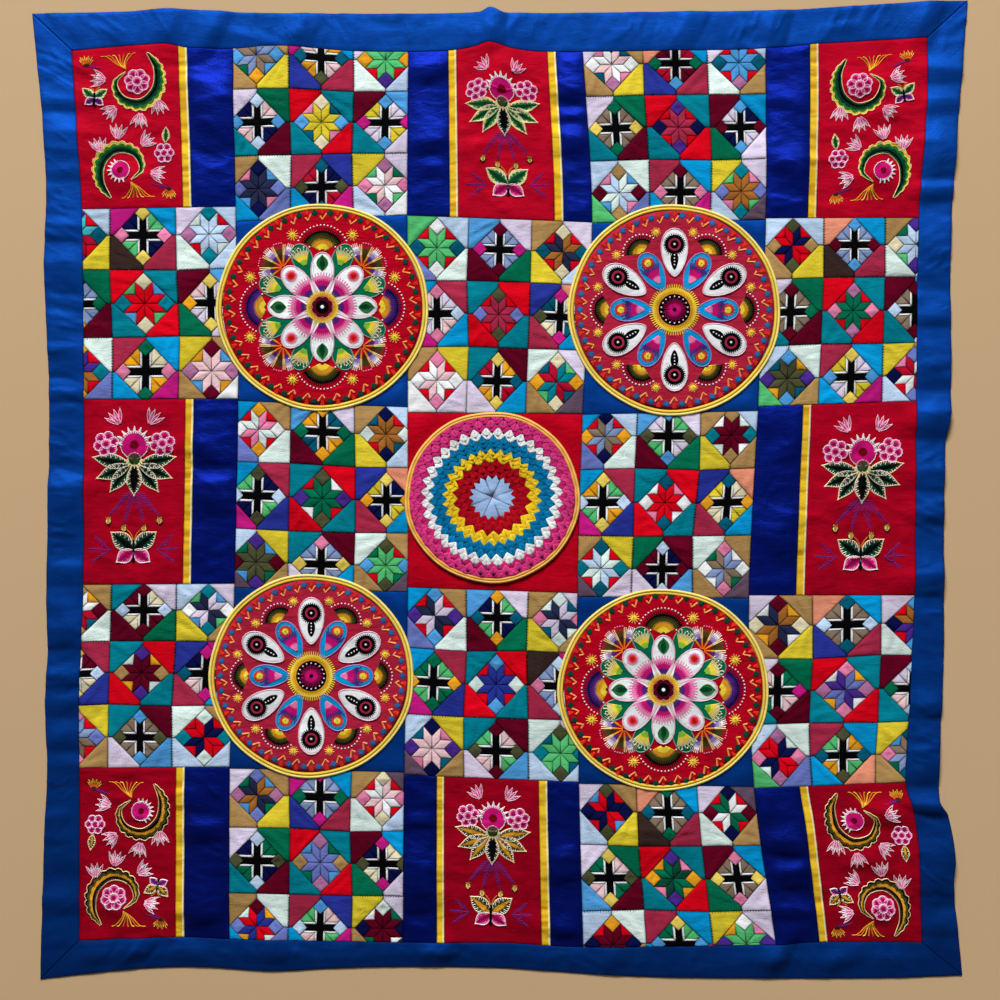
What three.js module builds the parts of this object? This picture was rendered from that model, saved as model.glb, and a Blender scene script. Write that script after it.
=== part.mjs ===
// A pieced coverlet that lies flat: five upright strips of star blocks, banded panels and round
// medallions, framed by a mitred border. Millimetres, +Z up, +Y towards the head end, and the
// origin under the middle of the coverlet.
import * as THREE from "three";

// Driving dimensions of the cloth
const CLOTH = 1.6;
const DISC_CLOTH = 1.4;
const PIECE_GAP = 0.3;
const RING_WIDTH = 12;
const RING_HEIGHT = 2.8;
const BORDER_CELLS = 2;
const BLOCK_CELLS = 4;
const BAND_CELL = 50;
const ROUND_SIDES = 40;

// Colours of the cloths and their surface
const CLOTHS = {
  royal: { colour: 0x0b45ae, roughness: 0.75 },
  navy: { colour: 0x14188a, roughness: 0.6 },
  red: { colour: 0xc8102a, roughness: 0.7 },
  yellow: { colour: 0xf5cf3c, roughness: 0.7 },
  patchwork: { colour: 0x3f8f94, roughness: 0.8 },
  folded: { colour: 0xe07f9a, roughness: 0.8 },
};

// Each upright seam and side edge, from the head end to the foot: its x at a height y.
const seam = (y, x) => ({ along: y, across: x });
const LONG_SEAMS = [
  [seam(904, -888), seam(804, -878), seam(707, -868), seam(568, -861), seam(416, -865), seam(203, -856),
    seam(-19, -857), seam(-201, -861), seam(-291, -858), seam(-407, -863), seam(-534, -859),
    seam(-661, -865), seam(-806, -869), seam(-929, -873)],
  [seam(834, -813), seam(532, -794), seam(173, -790), seam(-179, -791), seam(-412, -799),
    seam(-528, -798), seam(-855, -799)],
  [seam(838, -507), seam(532, -502), seam(171, -497), seam(-179, -504), seam(-528, -513), seam(-853, -514)],
  [seam(834, -174), seam(519, -176), seam(150, -175), seam(-186, -175), seam(-540, -182), seam(-859, -184)],
  [seam(834, 157), seam(509, 175), seam(144, 157), seam(-194, 147), seam(-555, 150), seam(-868, 158)],
  [seam(838, 504), seam(513, 505), seam(156, 490), seam(-200, 473), seam(-560, 482), seam(-863, 524)],
  [seam(859, 811), seam(749, 811), seam(519, 795), seam(167, 790), seam(-198, 787), seam(-443, 775),
    seam(-555, 770), seam(-625, 788), seam(-686, 794), seam(-859, 801)],
  [seam(929, 888), seam(732, 872), seam(568, 860), seam(446, 855), seam(156, 855), seam(84, 845),
    seam(-122, 842), seam(-321, 842), seam(-589, 833), seam(-619, 851), seam(-703, 863), seam(-747, 860),
    seam(-922, 878)],
];

// Each level edge of the border, from left to right: its y at a place x.
const edge = (x, y) => ({ along: x, across: y });
const TOP_EDGE = [edge(-888, 904), edge(-712, 908), edge(-636, 913), edge(-475, 906), edge(-190, 904),
  edge(-38, 908), edge(-19, 916), edge(10, 906), edge(338, 908), edge(515, 910), edge(665, 918),
  edge(787, 926), edge(888, 929)];
const TOP_SEAM = [edge(-813, 834), edge(-640, 847), edge(-589, 839), edge(-509, 838), edge(-431, 844),
  edge(-270, 833), edge(-99, 834), edge(-46, 843), edge(-21, 850), edge(28, 838), edge(86, 832),
  edge(388, 835), edge(504, 838), edge(591, 846), edge(811, 859)];
const FOOT_SEAM = [edge(-799, -855), edge(-611, -849), edge(-514, -853), edge(-187, -859), edge(0, -860),
  edge(158, -868), edge(524, -863), edge(623, -858), edge(801, -859)];
const FOOT_EDGE = [edge(-873, -929), edge(-695, -910), edge(-574, -906), edge(-435, -914),
  edge(-344, -910), edge(-222, -906), edge(0, -908), edge(213, -922), edge(393, -927), edge(728, -927),
  edge(878, -922)];

// The four seams across each strip of blocks, head to foot, at the strip's left and right side.
const cross = (left, right) => ({ left, right });
const CROSS_SEAMS = [
  [cross(533, 538), cross(172, 173), cross(-180, -178), cross(-528, -526)],
  [cross(510, 522), cross(169, 157), cross(-186, -194), cross(-529, -536)],
  [cross(521, 508), cross(147, 144), cross(-185, -196), cross(-541, -555)],
  [cross(507, 513), cross(143, 150), cross(-203, -206), cross(-558, -564)],
  [cross(516, 517), cross(158, 169), cross(-200, -200), cross(-567, -555)],
];

// The levels at which every piece has a row of points: the crests and feet of the storage creases.
const LEVELS = [790, 745, 710, 678, 640, 608, 575, 470, 448, 422, 395, 350, 320, 290, 240, 212, 186,
  115, 85, 55, 0, -50, -100, -150, -235, -262, -292, -322, -370, -398, -425, -455, -500, -602, -640,
  -674, -708, -742, -780, -805, -830];
const LEVEL_MARGIN = 9;

// Blocks of upright bands: the cloths from left to right and the shares of the width where they meet.
const banded = (row, column, cloths, cuts) => ({ row, column, cloths, cuts });
const BANDED_BLOCKS = [
  banded(1, 1, ["red", "yellow", "navy"], [0.66, 0.715]),
  banded(1, 3, ["navy", "yellow", "red", "yellow", "navy"], [0.23, 0.275, 0.797, 0.845]),
  banded(1, 5, ["navy", "yellow", "red"], [0.275, 0.328]),
  banded(3, 1, ["red", "yellow", "navy"], [0.658, 0.711]),
  banded(3, 5, ["navy", "yellow", "red"], [0.285, 0.336]),
  banded(5, 1, ["red", "yellow", "navy"], [0.643, 0.7]),
  banded(5, 3, ["navy", "yellow", "red", "yellow", "navy"], [0.188, 0.229, 0.77, 0.819]),
  banded(5, 5, ["navy", "yellow", "red"], [0.3, 0.356]),
];
const BAND_NAMES = { red: "red_panel", navy: "navy_panel", yellow: "yellow_strip" };

// Star blocks by row and column.
const STAR_BLOCKS = [[1, 2], [1, 4], [2, 1], [2, 3], [2, 5], [3, 2], [3, 4], [4, 1], [4, 3], [4, 5],
  [5, 2], [5, 4]];

// Round pieces sewn over their ground square: the centre, and the half width and half height.
const round = (row, column, x, y, wide, high) => ({ row, column, x, y, wide, high });
const MEDALLIONS = [
  round(2, 2, -337, 347, 202, 197),
  round(2, 4, 331, 342, 202, 201),
  round(4, 2, -358, -353, 195, 194),
  round(4, 4, 310, -379, 201, 192),
];
const FOLDED_STAR = round(3, 3, -15, -14, 167, 163);
const STAR_RING_WIDTH = 11;

// The folded star's rounds of points, by the share of the radius where their tips and their
// valleys lie. Each round lies on the one inside it and is higher by one step.
const STAR_POINTS = 24;
const STAR_STEP = 0.55;
const points = (tip, valley) => ({ tip, valley });
const STAR_ROUNDS = [points(0.28, 0.33), points(0.44, 0.5), points(0.59, 0.65), points(0.73, 0.78),
  points(0.83, 0.88)];

// The main folds: the middle of each crest, its turn from the +X direction in degrees, its half
// length, its half width and its rise above the floor.
const fold = (x, y, turn, run, spread, rise) => ({ x, y, turn, run, spread, rise });
const FOLDS = [
  fold(-828, 710, 0, 80, 33, 4),
  fold(-828, 575, 0, 90, 34, 7),
  fold(-828, 422, 0, 80, 27, 3),
  fold(-828, 320, 0, 80, 30, 4),
  fold(-828, 186, 0, 80, 27, 4),
  fold(-828, -200, 0, 80, 36, 4),
  fold(-828, -292, 0, 80, 30, 5),
  fold(-830, -425, 0, 80, 28, 3),
  fold(-828, -530, 0, 80, 34, 4),
  fold(-832, -708, 0, 80, 34, 3),
  fold(838, 710, 0, 80, 33, 5),
  fold(826, 575, 0, 90, 34, 8),
  fold(822, 350, 0, 80, 40, 3),
  fold(820, 115, 0, 80, 40, 5),
  fold(815, -175, 0, 80, 40, 6),
  fold(812, -292, 0, 80, 30, 3),
  fold(810, -425, 0, 80, 30, 4),
  fold(812, -602, -4, 90, 40, 12),
  fold(828, -708, 0, 90, 36, 10),
  fold(838, -830, 0, 80, 28, 4),
  fold(-640, 878, 80, 56, 44, 6),
  fold(-560, 872, 45, 60, 34, 5),
  fold(-380, 872, 60, 56, 40, 5),
  fold(-21, 880, 88, 60, 36, 10),
  fold(345, 872, 60, 56, 40, 5),
  fold(515, 873, 75, 56, 36, 4),
  fold(803, 897, 70, 60, 36, 7),
  fold(-775, -890, 75, 60, 40, 5),
  fold(-700, -885, 60, 56, 36, 5),
  fold(-435, -888, 80, 56, 44, 4),
  fold(213, -895, 80, 56, 44, 4),
  fold(523, -897, 75, 56, 36, 6),
  fold(640, -897, 25, 70, 30, 6),
  fold(-547, 720, 10, 60, 36, 5),
  fold(-560, 620, -8, 50, 34, 4),
  fold(-133, 783, 12, 55, 34, 4),
  fold(-133, 707, -5, 55, 34, 5),
  fold(134, 745, 15, 50, 34, 4),
  fold(143, 646, -12, 50, 34, 5),
  fold(547, 735, 3, 60, 34, 6),
  fold(547, 608, 8, 60, 34, 4),
  fold(-541, 85, 12, 60, 34, 4),
  fold(-545, -76, -12, 60, 34, 4),
  fold(528, 70, -10, 60, 34, 4),
  fold(517, -86, 12, 60, 34, 5),
  fold(-555, -640, -15, 60, 36, 4),
  fold(-555, -725, 0, 60, 36, 4),
  fold(-150, -640, 12, 55, 36, 4),
  fold(-148, -750, -10, 55, 36, 4),
  fold(120, -690, 12, 50, 36, 5),
  fold(545, -690, -4, 70, 36, 7),
  fold(550, -750, 5, 70, 34, 6),
  fold(-703, 600, -8, 90, 36, 4),
  fold(-6, 790, 88, 70, 40, 6),
  fold(703, 779, 8, 90, 36, 3),
  fold(703, 600, 4, 90, 36, 4),
  fold(735, -610, -10, 90, 40, 8),
  fold(703, -750, 3, 90, 36, 5),
];
const ROUND_CLEAR = 100;
const ROUND_BLEND = 60;

// A smooth curve through the points of a table, by cubic pieces with mean slopes.
function curveThrough(table) {
  const stops = [...table].sort((a, b) => a.along - b.along);
  const last = stops.length - 1;
  const slopes = stops.map((stop, i) => {
    const before = stops[Math.max(i - 1, 0)];
    const after = stops[Math.min(i + 1, last)];
    return (after.across - before.across) / (after.along - before.along);
  });
  return (along) => {
    let i = 0;
    while (i < last - 1 && along > stops[i + 1].along) i += 1;
    const step = stops[i + 1].along - stops[i].along;
    const u = (along - stops[i].along) / step;
    if (u <= 0) return stops[i].across;
    if (u >= 1) return stops[i + 1].across;
    const rest = 1 - u;
    const start = stops[i].across * (1 + 2 * u) + slopes[i] * step * u;
    const end = stops[i + 1].across * (3 - 2 * u) - slopes[i + 1] * step * rest;
    return start * rest * rest + end * u * u;
  };
}

const seamAt = LONG_SEAMS.map(curveThrough);
const topEdge = curveThrough(TOP_EDGE);
const topSeam = curveThrough(TOP_SEAM);
const footSeam = curveThrough(FOOT_SEAM);
const footEdge = curveThrough(FOOT_EDGE);
const lerp = THREE.MathUtils.lerp;

// A soft bump: 1 in the middle, 0 from the given distance on.
function bump(distance, reach) {
  const share = Math.min(Math.abs(distance) / reach, 1);
  return 0.5 + 0.5 * Math.cos(Math.PI * share);
}

// How far a point lies from the rounds, which are sewn flat: 0 near one, 1 away from all.
function slackAt(x, y) {
  return [...MEDALLIONS, FOLDED_STAR].reduce((least, disc) => {
    const distance = Math.hypot(x - disc.x, y - disc.y) - disc.wide - ROUND_CLEAR;
    return Math.min(least, THREE.MathUtils.smoothstep(distance, 0, ROUND_BLEND));
  }, 1);
}

// The height of the cloth's underside above the floor.
function reliefAt(x, y) {
  const slack = slackAt(x, y);
  if (slack === 0) return 0;
  const highest = FOLDS.reduce((rise, crest) => {
    const turn = THREE.MathUtils.degToRad(crest.turn);
    const along = (x - crest.x) * Math.cos(turn) + (y - crest.y) * Math.sin(turn);
    const off = (y - crest.y) * Math.cos(turn) - (x - crest.x) * Math.sin(turn);
    return Math.max(rise, crest.rise * bump(along, crest.run) * bump(off, crest.spread));
  }, 0);
  return slack * highest;
}

// A cloth piece over rows of plan points, head to foot and left to right, lying on the relief.
function clothGeometry(rows) {
  const wide = rows[0].length;
  const plan = rows.flat();
  const positions = [];
  for (const lift of [CLOTH, 0]) {
    for (const [x, y] of plan) positions.push(x, y, reliefAt(x, y) + lift);
  }
  const under = plan.length;
  const faces = [];
  for (let j = 0; j + 1 < rows.length; j += 1) {
    for (let i = 0; i + 1 < wide; i += 1) {
      const a = j * wide + i;
      const b = a + 1;
      const c = b + wide;
      const d = a + wide;
      faces.push(a, d, c, a, c, b);
      faces.push(a + under, c + under, d + under, a + under, b + under, c + under);
    }
  }
  const rim = [];
  const lastRow = (rows.length - 1) * wide;
  for (let j = 0; j + 1 < rows.length; j += 1) rim.push(j * wide);
  for (let i = 0; i + 1 < wide; i += 1) rim.push(lastRow + i);
  for (let j = rows.length - 1; j > 0; j -= 1) rim.push(j * wide + wide - 1);
  for (let i = wide - 1; i > 0; i -= 1) rim.push(i);
  rim.forEach((p, i) => {
    const q = rim[(i + 1) % rim.length];
    faces.push(p, p + under, q + under, p, q + under, q);
  });
  const geometry = new THREE.BufferGeometry();
  geometry.setAttribute("position", new THREE.Float32BufferAttribute(positions, 3));
  geometry.setIndex(faces);
  geometry.computeVertexNormals();
  return geometry;
}

const coverlet = new THREE.Group();

// Adds one piece of cloth to the coverlet.
function addPiece(name, cloth, geometry) {
  const { colour, roughness } = CLOTHS[cloth];
  const material = new THREE.MeshStandardMaterial({ color: colour, roughness, metalness: 0 });
  const piece = new THREE.Mesh(geometry, material);
  piece.name = name;
  coverlet.add(piece);
  return piece;
}

// The share of a block's width at which its pieces have a column of points, from cut to cut.
function sharesBetween(from, to, cells) {
  return Array.from({ length: cells + 1 }, (_, i) => lerp(from, to, i / cells));
}

// The height of the seam over or under a block, at a share of its width.
function crossAt(column, index, share) {
  const [left, right] = [seamAt[column], seamAt[column + 1]];
  if (index === 0) return topSeam(lerp(left(topSeam(0)), right(topSeam(0)), share));
  if (index === 5) return footSeam(lerp(left(footSeam(0)), right(footSeam(0)), share));
  const ends = CROSS_SEAMS[column - 1][index - 1];
  return lerp(ends.left, ends.right, share);
}

// Rows of plan points of a piece of a block, between two shares of the block's width.
function blockRows(row, column, shares) {
  const half = PIECE_GAP / 2;
  const ends = [0, 1];
  const highest = Math.min(...ends.map((share) => crossAt(column, row - 1, share))) - LEVEL_MARGIN;
  const lowest = Math.max(...ends.map((share) => crossAt(column, row, share))) + LEVEL_MARGIN;
  const heights = [
    (share) => crossAt(column, row - 1, share) - half,
    ...LEVELS.filter((y) => y < highest && y > lowest).map((y) => () => y),
    (share) => crossAt(column, row, share) + half,
  ];
  const last = shares.length - 1;
  return heights.map((heightAt) => shares.map((share, i) => {
    const y = heightAt(share);
    const x = lerp(seamAt[column](y), seamAt[column + 1](y), share);
    const inset = i === 0 ? half : i === last ? -half : 0;
    return [x + inset, y];
  }));
}

// Banded blocks: each band is its own piece, named for its cloth, its block and its side.
for (const block of BANDED_BLOCKS) {
  const cuts = [0, ...block.cuts, 1];
  block.cloths.forEach((cloth, i) => {
    const twin = block.cloths.indexOf(cloth) !== block.cloths.lastIndexOf(cloth);
    const side = twin ? (i < block.cloths.length / 2 ? "_left" : "_right") : "";
    const width = (cuts[i + 1] - cuts[i]) * (seamAt[block.column + 1](0) - seamAt[block.column](0));
    const shares = sharesBetween(cuts[i], cuts[i + 1], Math.ceil(width / BAND_CELL));
    const name = `${BAND_NAMES[cloth]}_r${block.row}c${block.column}${side}`;
    addPiece(name, cloth, clothGeometry(blockRows(block.row, block.column, shares)));
  });
}

// Star blocks and the ground squares of the round pieces.
const blockShares = sharesBetween(0, 1, BLOCK_CELLS);
for (const [row, column] of STAR_BLOCKS) {
  addPiece(`star_block_r${row}c${column}`, "patchwork", clothGeometry(blockRows(row, column, blockShares)));
}
for (const { row, column } of MEDALLIONS) {
  addPiece(`ground_square_r${row}c${column}`, "royal", clothGeometry(blockRows(row, column, blockShares)));
}
addPiece("centre_square", "red", clothGeometry(blockRows(3, 3, blockShares)));

// The places along the head and foot seams where the blocks have points, for the border to share.
function borderStops(row, seamIndex) {
  const stops = [];
  for (let column = 1; column <= 5; column += 1) {
    const block = BANDED_BLOCKS.find((each) => each.row === row && each.column === column);
    const cuts = block ? [0, ...block.cuts, 1] : [0, 1];
    const [left, right] = [seamAt[column], seamAt[column + 1]];
    for (let i = 0; i + 1 < cuts.length; i += 1) {
      const width = (cuts[i + 1] - cuts[i]) * (right(0) - left(0));
      const cells = block ? Math.ceil(width / BAND_CELL) : BLOCK_CELLS;
      for (const share of sharesBetween(cuts[i], cuts[i + 1], cells)) {
        const y = crossAt(column, seamIndex, share);
        stops.push(lerp(left(y), right(y), share));
      }
    }
  }
  return [...new Set(stops.map((x) => Math.round(x * 1000) / 1000))].sort((a, b) => a - b);
}

// One strip of the border from its inner points to its outer points, mitred at both ends.
function borderRows(inner, outer) {
  return Array.from({ length: BORDER_CELLS + 1 }, (_, j) => inner.map((point, i) => {
    const share = j / BORDER_CELLS;
    return [lerp(point[0], outer[i][0], share), lerp(point[1], outer[i][1], share)];
  }));
}

// Moves the first and last point of a line towards each other by the mitre's half gap.
function shortened(line) {
  const pull = (from, to) => {
    const length = Math.hypot(to[0] - from[0], to[1] - from[1]);
    const share = PIECE_GAP / length;
    return [lerp(from[0], to[0], share), lerp(from[1], to[1], share)];
  };
  const last = line.length - 1;
  return line.map((point, i) => {
    if (i === 0) return pull(point, line[1]);
    if (i === last) return pull(point, line[last - 1]);
    return point;
  });
}

// The corners of the border, inside and outside, from the head-left one clockwise.
const HALF_GAP = PIECE_GAP / 2;
const corners = {
  headLeft: { inner: [-813, 834], outer: [-888, 904] },
  headRight: { inner: [811, 859], outer: [888, 929] },
  footRight: { inner: [801, -859], outer: [878, -922] },
  footLeft: { inner: [-799, -855], outer: [-873, -929] },
};

// The head and foot strips: points at the blocks' stops, stretched outwards to the outer corners.
function levelStrip(stops, from, to, inner, outer, shift) {
  const share = (x) => (x - from.inner[0]) / (to.inner[0] - from.inner[0]);
  const outerX = (x) => lerp(from.outer[0], to.outer[0], share(x));
  const between = stops.filter((x) => x > from.inner[0] + HALF_GAP && x < to.inner[0] - HALF_GAP);
  const innerLine = between.map((x) => [x, inner(x) + shift]);
  const outerLine = between.map((x) => [outerX(x), outer(outerX(x))]);
  const innerEnds = [from.inner, to.inner].map(([x, y]) => [x, y + shift]);
  return [
    shortened([innerEnds[0], ...innerLine, innerEnds[1]]),
    shortened([from.outer, ...outerLine, to.outer]),
  ];
}
const head = levelStrip(borderStops(1, 0), corners.headLeft, corners.headRight, topSeam, topEdge, HALF_GAP);
addPiece("border_top", "royal", clothGeometry(borderRows(head[1], head[0])));
const foot = levelStrip(borderStops(5, 5), corners.footLeft, corners.footRight, footSeam, footEdge, -HALF_GAP);
addPiece("border_bottom", "royal", clothGeometry(borderRows(foot[0], foot[1])));

// The side strips: points at the shared levels, from the head corner to the foot corner.
function uprightStrip(innerSeam, outerSeam, top, bottom, shift) {
  const levels = LEVELS.filter((y) => y < top.inner[1] - LEVEL_MARGIN && y > bottom.inner[1] + LEVEL_MARGIN);
  const innerLine = levels.map((y) => [seamAt[innerSeam](y) + shift, y]);
  const outerLine = levels.map((y) => [seamAt[outerSeam](y), y]);
  const innerEnds = [top.inner, bottom.inner].map(([x, y]) => [x + shift, y]);
  return [
    shortened([innerEnds[0], ...innerLine, innerEnds[1]]),
    shortened([top.outer, ...outerLine, bottom.outer]),
  ];
}
// Turns two lines that run down the strip into rows across it, left to right.
function rowsAcross(leftLine, rightLine) {
  return leftLine.map((point, i) => Array.from({ length: BORDER_CELLS + 1 }, (_, j) => {
    const share = j / BORDER_CELLS;
    return [lerp(point[0], rightLine[i][0], share), lerp(point[1], rightLine[i][1], share)];
  }));
}
const left = uprightStrip(1, 0, corners.headLeft, corners.footLeft, -HALF_GAP);
addPiece("border_left", "royal", clothGeometry(rowsAcross(left[1], left[0])));
const right = uprightStrip(6, 7, corners.headRight, corners.footRight, HALF_GAP);
addPiece("border_right", "royal", clothGeometry(rowsAcross(right[0], right[1])));

// A disc with a soft crown, flat below, and the ring that binds its edge.
const DISC_FLOOR = CLOTH + PIECE_GAP;
const DISC_CROWN = 0.6;
function discGeometry(radius) {
  const profile = [[0, 0], [radius, 0], [radius, DISC_CLOTH], [radius * 0.6, DISC_CLOTH + DISC_CROWN * 0.6],
    [0, DISC_CLOTH + DISC_CROWN]];
  const geometry = new THREE.LatheGeometry(profile.map(([r, z]) => new THREE.Vector2(r, z)), ROUND_SIDES);
  return geometry.rotateX(Math.PI / 2);
}
function ringGeometry(radius, width) {
  const inner = radius - width;
  const profile = [[inner, 0], [radius, 0], [radius, RING_HEIGHT * 0.6], [radius - width / 2, RING_HEIGHT],
    [inner, RING_HEIGHT * 0.8], [inner, 0]];
  const geometry = new THREE.LatheGeometry(profile.map(([r, z]) => new THREE.Vector2(r, z)), ROUND_SIDES);
  return geometry.rotateX(Math.PI / 2);
}

// Adds a round piece and its ring at a disc's place, drawn out to the disc's height.
function placeRound(piece, disc) {
  piece.position.set(disc.x, disc.y, DISC_FLOOR);
  piece.scale.set(1, disc.high / disc.wide, 1);
}
for (const disc of MEDALLIONS) {
  const block = `r${disc.row}c${disc.column}`;
  const radius = disc.wide - RING_WIDTH - 2 * PIECE_GAP;
  placeRound(addPiece(`medallion_${block}`, "red", discGeometry(radius)), disc);
  placeRound(addPiece(`medallion_ring_${block}`, "yellow", ringGeometry(disc.wide, RING_WIDTH)), disc);
}

// The folded star: rounds of points that overlap like scales, each a step higher than the last.
function foldedStarGeometry(radius) {
  const sides = STAR_POINTS * 2;
  const loops = [];
  STAR_ROUNDS.forEach((each, i) => {
    const low = DISC_CLOTH + i * STAR_STEP;
    const reach = (k) => radius * (k % 2 === i % 2 ? each.tip : each.valley);
    loops.push({ reach, z: low }, { reach: (k) => reach(k) + 1, z: low + STAR_STEP });
  });
  const top = DISC_CLOTH + STAR_ROUNDS.length * STAR_STEP;
  loops.push({ reach: () => radius, z: top }, { reach: () => radius, z: 0 });
  const positions = [0, 0, DISC_CLOTH];
  for (const { reach, z } of loops) {
    for (let k = 0; k < sides; k += 1) {
      const turn = (k / sides) * 2 * Math.PI;
      positions.push(reach(k) * Math.cos(turn), reach(k) * Math.sin(turn), z);
    }
  }
  positions.push(0, 0, 0);
  const lastPoint = positions.length / 3 - 1;
  const at = (loop, k) => 1 + loop * sides + (k % sides);
  const faces = [];
  for (let k = 0; k < sides; k += 1) {
    faces.push(0, at(0, k), at(0, k + 1));
    for (let loop = 0; loop + 1 < loops.length; loop += 1) {
      faces.push(at(loop, k), at(loop + 1, k), at(loop + 1, k + 1));
      faces.push(at(loop, k), at(loop + 1, k + 1), at(loop, k + 1));
    }
    faces.push(lastPoint, at(loops.length - 1, k + 1), at(loops.length - 1, k));
  }
  const geometry = new THREE.BufferGeometry();
  geometry.setAttribute("position", new THREE.Float32BufferAttribute(positions, 3));
  geometry.setIndex(faces);
  geometry.computeVertexNormals();
  return geometry;
}
const starRadius = FOLDED_STAR.wide - STAR_RING_WIDTH - 2 * PIECE_GAP;
placeRound(addPiece("folded_star", "folded", foldedStarGeometry(starRadius)), FOLDED_STAR);
const starRing = addPiece("folded_star_ring", "yellow", ringGeometry(FOLDED_STAR.wide, STAR_RING_WIDTH));
placeRound(starRing, FOLDED_STAR);

export default coverlet;
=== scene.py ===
import cmath
import math
import random

import bpy
import numpy as np
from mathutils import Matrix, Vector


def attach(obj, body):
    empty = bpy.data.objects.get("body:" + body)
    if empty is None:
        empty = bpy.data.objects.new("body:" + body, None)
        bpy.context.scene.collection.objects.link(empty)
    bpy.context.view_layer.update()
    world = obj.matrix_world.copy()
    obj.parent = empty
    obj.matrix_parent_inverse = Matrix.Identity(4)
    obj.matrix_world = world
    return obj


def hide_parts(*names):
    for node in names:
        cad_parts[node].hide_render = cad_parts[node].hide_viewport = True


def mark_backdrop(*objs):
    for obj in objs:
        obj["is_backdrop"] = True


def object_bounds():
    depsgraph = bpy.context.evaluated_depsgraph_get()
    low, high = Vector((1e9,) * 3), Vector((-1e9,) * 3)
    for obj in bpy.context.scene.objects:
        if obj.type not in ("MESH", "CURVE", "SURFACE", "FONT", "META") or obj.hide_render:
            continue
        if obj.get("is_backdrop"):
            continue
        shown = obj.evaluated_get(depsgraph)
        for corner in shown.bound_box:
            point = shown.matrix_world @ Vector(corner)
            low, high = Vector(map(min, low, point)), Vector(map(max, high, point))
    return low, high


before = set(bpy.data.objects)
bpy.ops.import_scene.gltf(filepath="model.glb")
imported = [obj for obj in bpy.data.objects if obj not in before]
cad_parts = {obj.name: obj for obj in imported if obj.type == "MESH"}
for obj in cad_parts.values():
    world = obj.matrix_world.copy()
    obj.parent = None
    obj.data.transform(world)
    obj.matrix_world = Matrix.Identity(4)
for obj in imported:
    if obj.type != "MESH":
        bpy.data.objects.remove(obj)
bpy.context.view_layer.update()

# Border: four strips of royal-blue cotton about 70 mm wide, sewn round the pieced middle and
# mitred at the corners. Creases from storage cross them and lift them off the floor.
MM = 0.001
CLOTH = 1.2
FLOOR_GAP = 0.2
SEAM_DEPTH = 0.9
SEAM_REACH = 2.6
SEAM_SHADE = 0.68
# Painted light: cloth colours are painted lighter towards the head end and darker towards the foot, as the
# window light falls.
PAINTED_HEAD_LIGHT = 0.26
HALF_LENGTH = 900
BORDER_STEP = 3.6
BORDER_RUN = 1700
BORDER_WIDTH = 72
# Painted light on the border: a stronger share of the same head-end lightening.
BORDER_PAINTED_HEAD_LIGHT = 0.36
BORDER_SWELL = 1.2
BORDER_HOLD = 34
END_HOLD = 40
WRINKLE_SWAY = 26
CRINKLE_SWAY = 9
HEM_PRESS = 0.8
HEM_REACH = 46
LAP_RISE = 0.8
LAP_REACH = 14
ROYAL = "#073C8E"

# Each upright seam and side edge, left to right, as (y, x) points in millimetres.
LONG_SEAMS = [
    [(904, -888), (804, -878), (707, -868), (568, -861), (416, -865), (203, -856), (-19, -857),
     (-201, -861), (-291, -858), (-407, -863), (-534, -859), (-661, -865), (-806, -869), (-929, -873)],
    [(834, -813), (532, -794), (173, -790), (-179, -791), (-412, -799), (-528, -798), (-855, -799)],
    [(838, -507), (532, -502), (171, -497), (-179, -504), (-528, -513), (-853, -514)],
    [(834, -174), (519, -176), (150, -175), (-186, -175), (-540, -182), (-859, -184)],
    [(834, 157), (509, 175), (144, 157), (-194, 147), (-555, 150), (-868, 158)],
    [(838, 504), (513, 505), (156, 490), (-200, 473), (-560, 482), (-863, 524)],
    [(859, 811), (749, 811), (519, 795), (167, 790), (-198, 787), (-443, 775), (-555, 770), (-625, 788),
     (-686, 794), (-859, 801)],
    [(929, 888), (732, 872), (568, 860), (446, 855), (156, 855), (84, 845), (-122, 842), (-321, 842),
     (-589, 833), (-619, 851), (-703, 863), (-747, 860), (-922, 878)],
]
# Each level edge and seam of the border, left to right, as (x, y) points.
TOP_EDGE = [(-888, 904), (-712, 908), (-636, 913), (-475, 906), (-190, 904), (-38, 908), (-19, 916),
            (10, 906), (338, 908), (515, 910), (665, 918), (787, 926), (888, 929)]
TOP_SEAM = [(-813, 834), (-640, 847), (-589, 839), (-509, 838), (-431, 844), (-270, 833), (-99, 834),
            (-46, 843), (-21, 850), (28, 838), (86, 832), (388, 835), (504, 838), (591, 846), (811, 859)]
FOOT_SEAM = [(-799, -855), (-611, -849), (-514, -853), (-187, -859), (0, -860), (158, -868), (524, -863),
             (623, -858), (801, -859)]
FOOT_EDGE = [(-873, -929), (-695, -910), (-574, -906), (-435, -914), (-344, -910), (-222, -906), (0, -908),
             (213, -922), (393, -927), (728, -927), (878, -922)]
# The round pieces, sewn down flat: centre, half width and half height.
ROUNDS = {
    "r2c2": (-337, 347, 202, 197),
    "r2c4": (331, 342, 202, 201),
    "r4c2": (-358, -353, 195, 194),
    "r4c4": (310, -379, 201, 192),
    "r3c3": (-15, -14, 167, 163),
}
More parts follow.
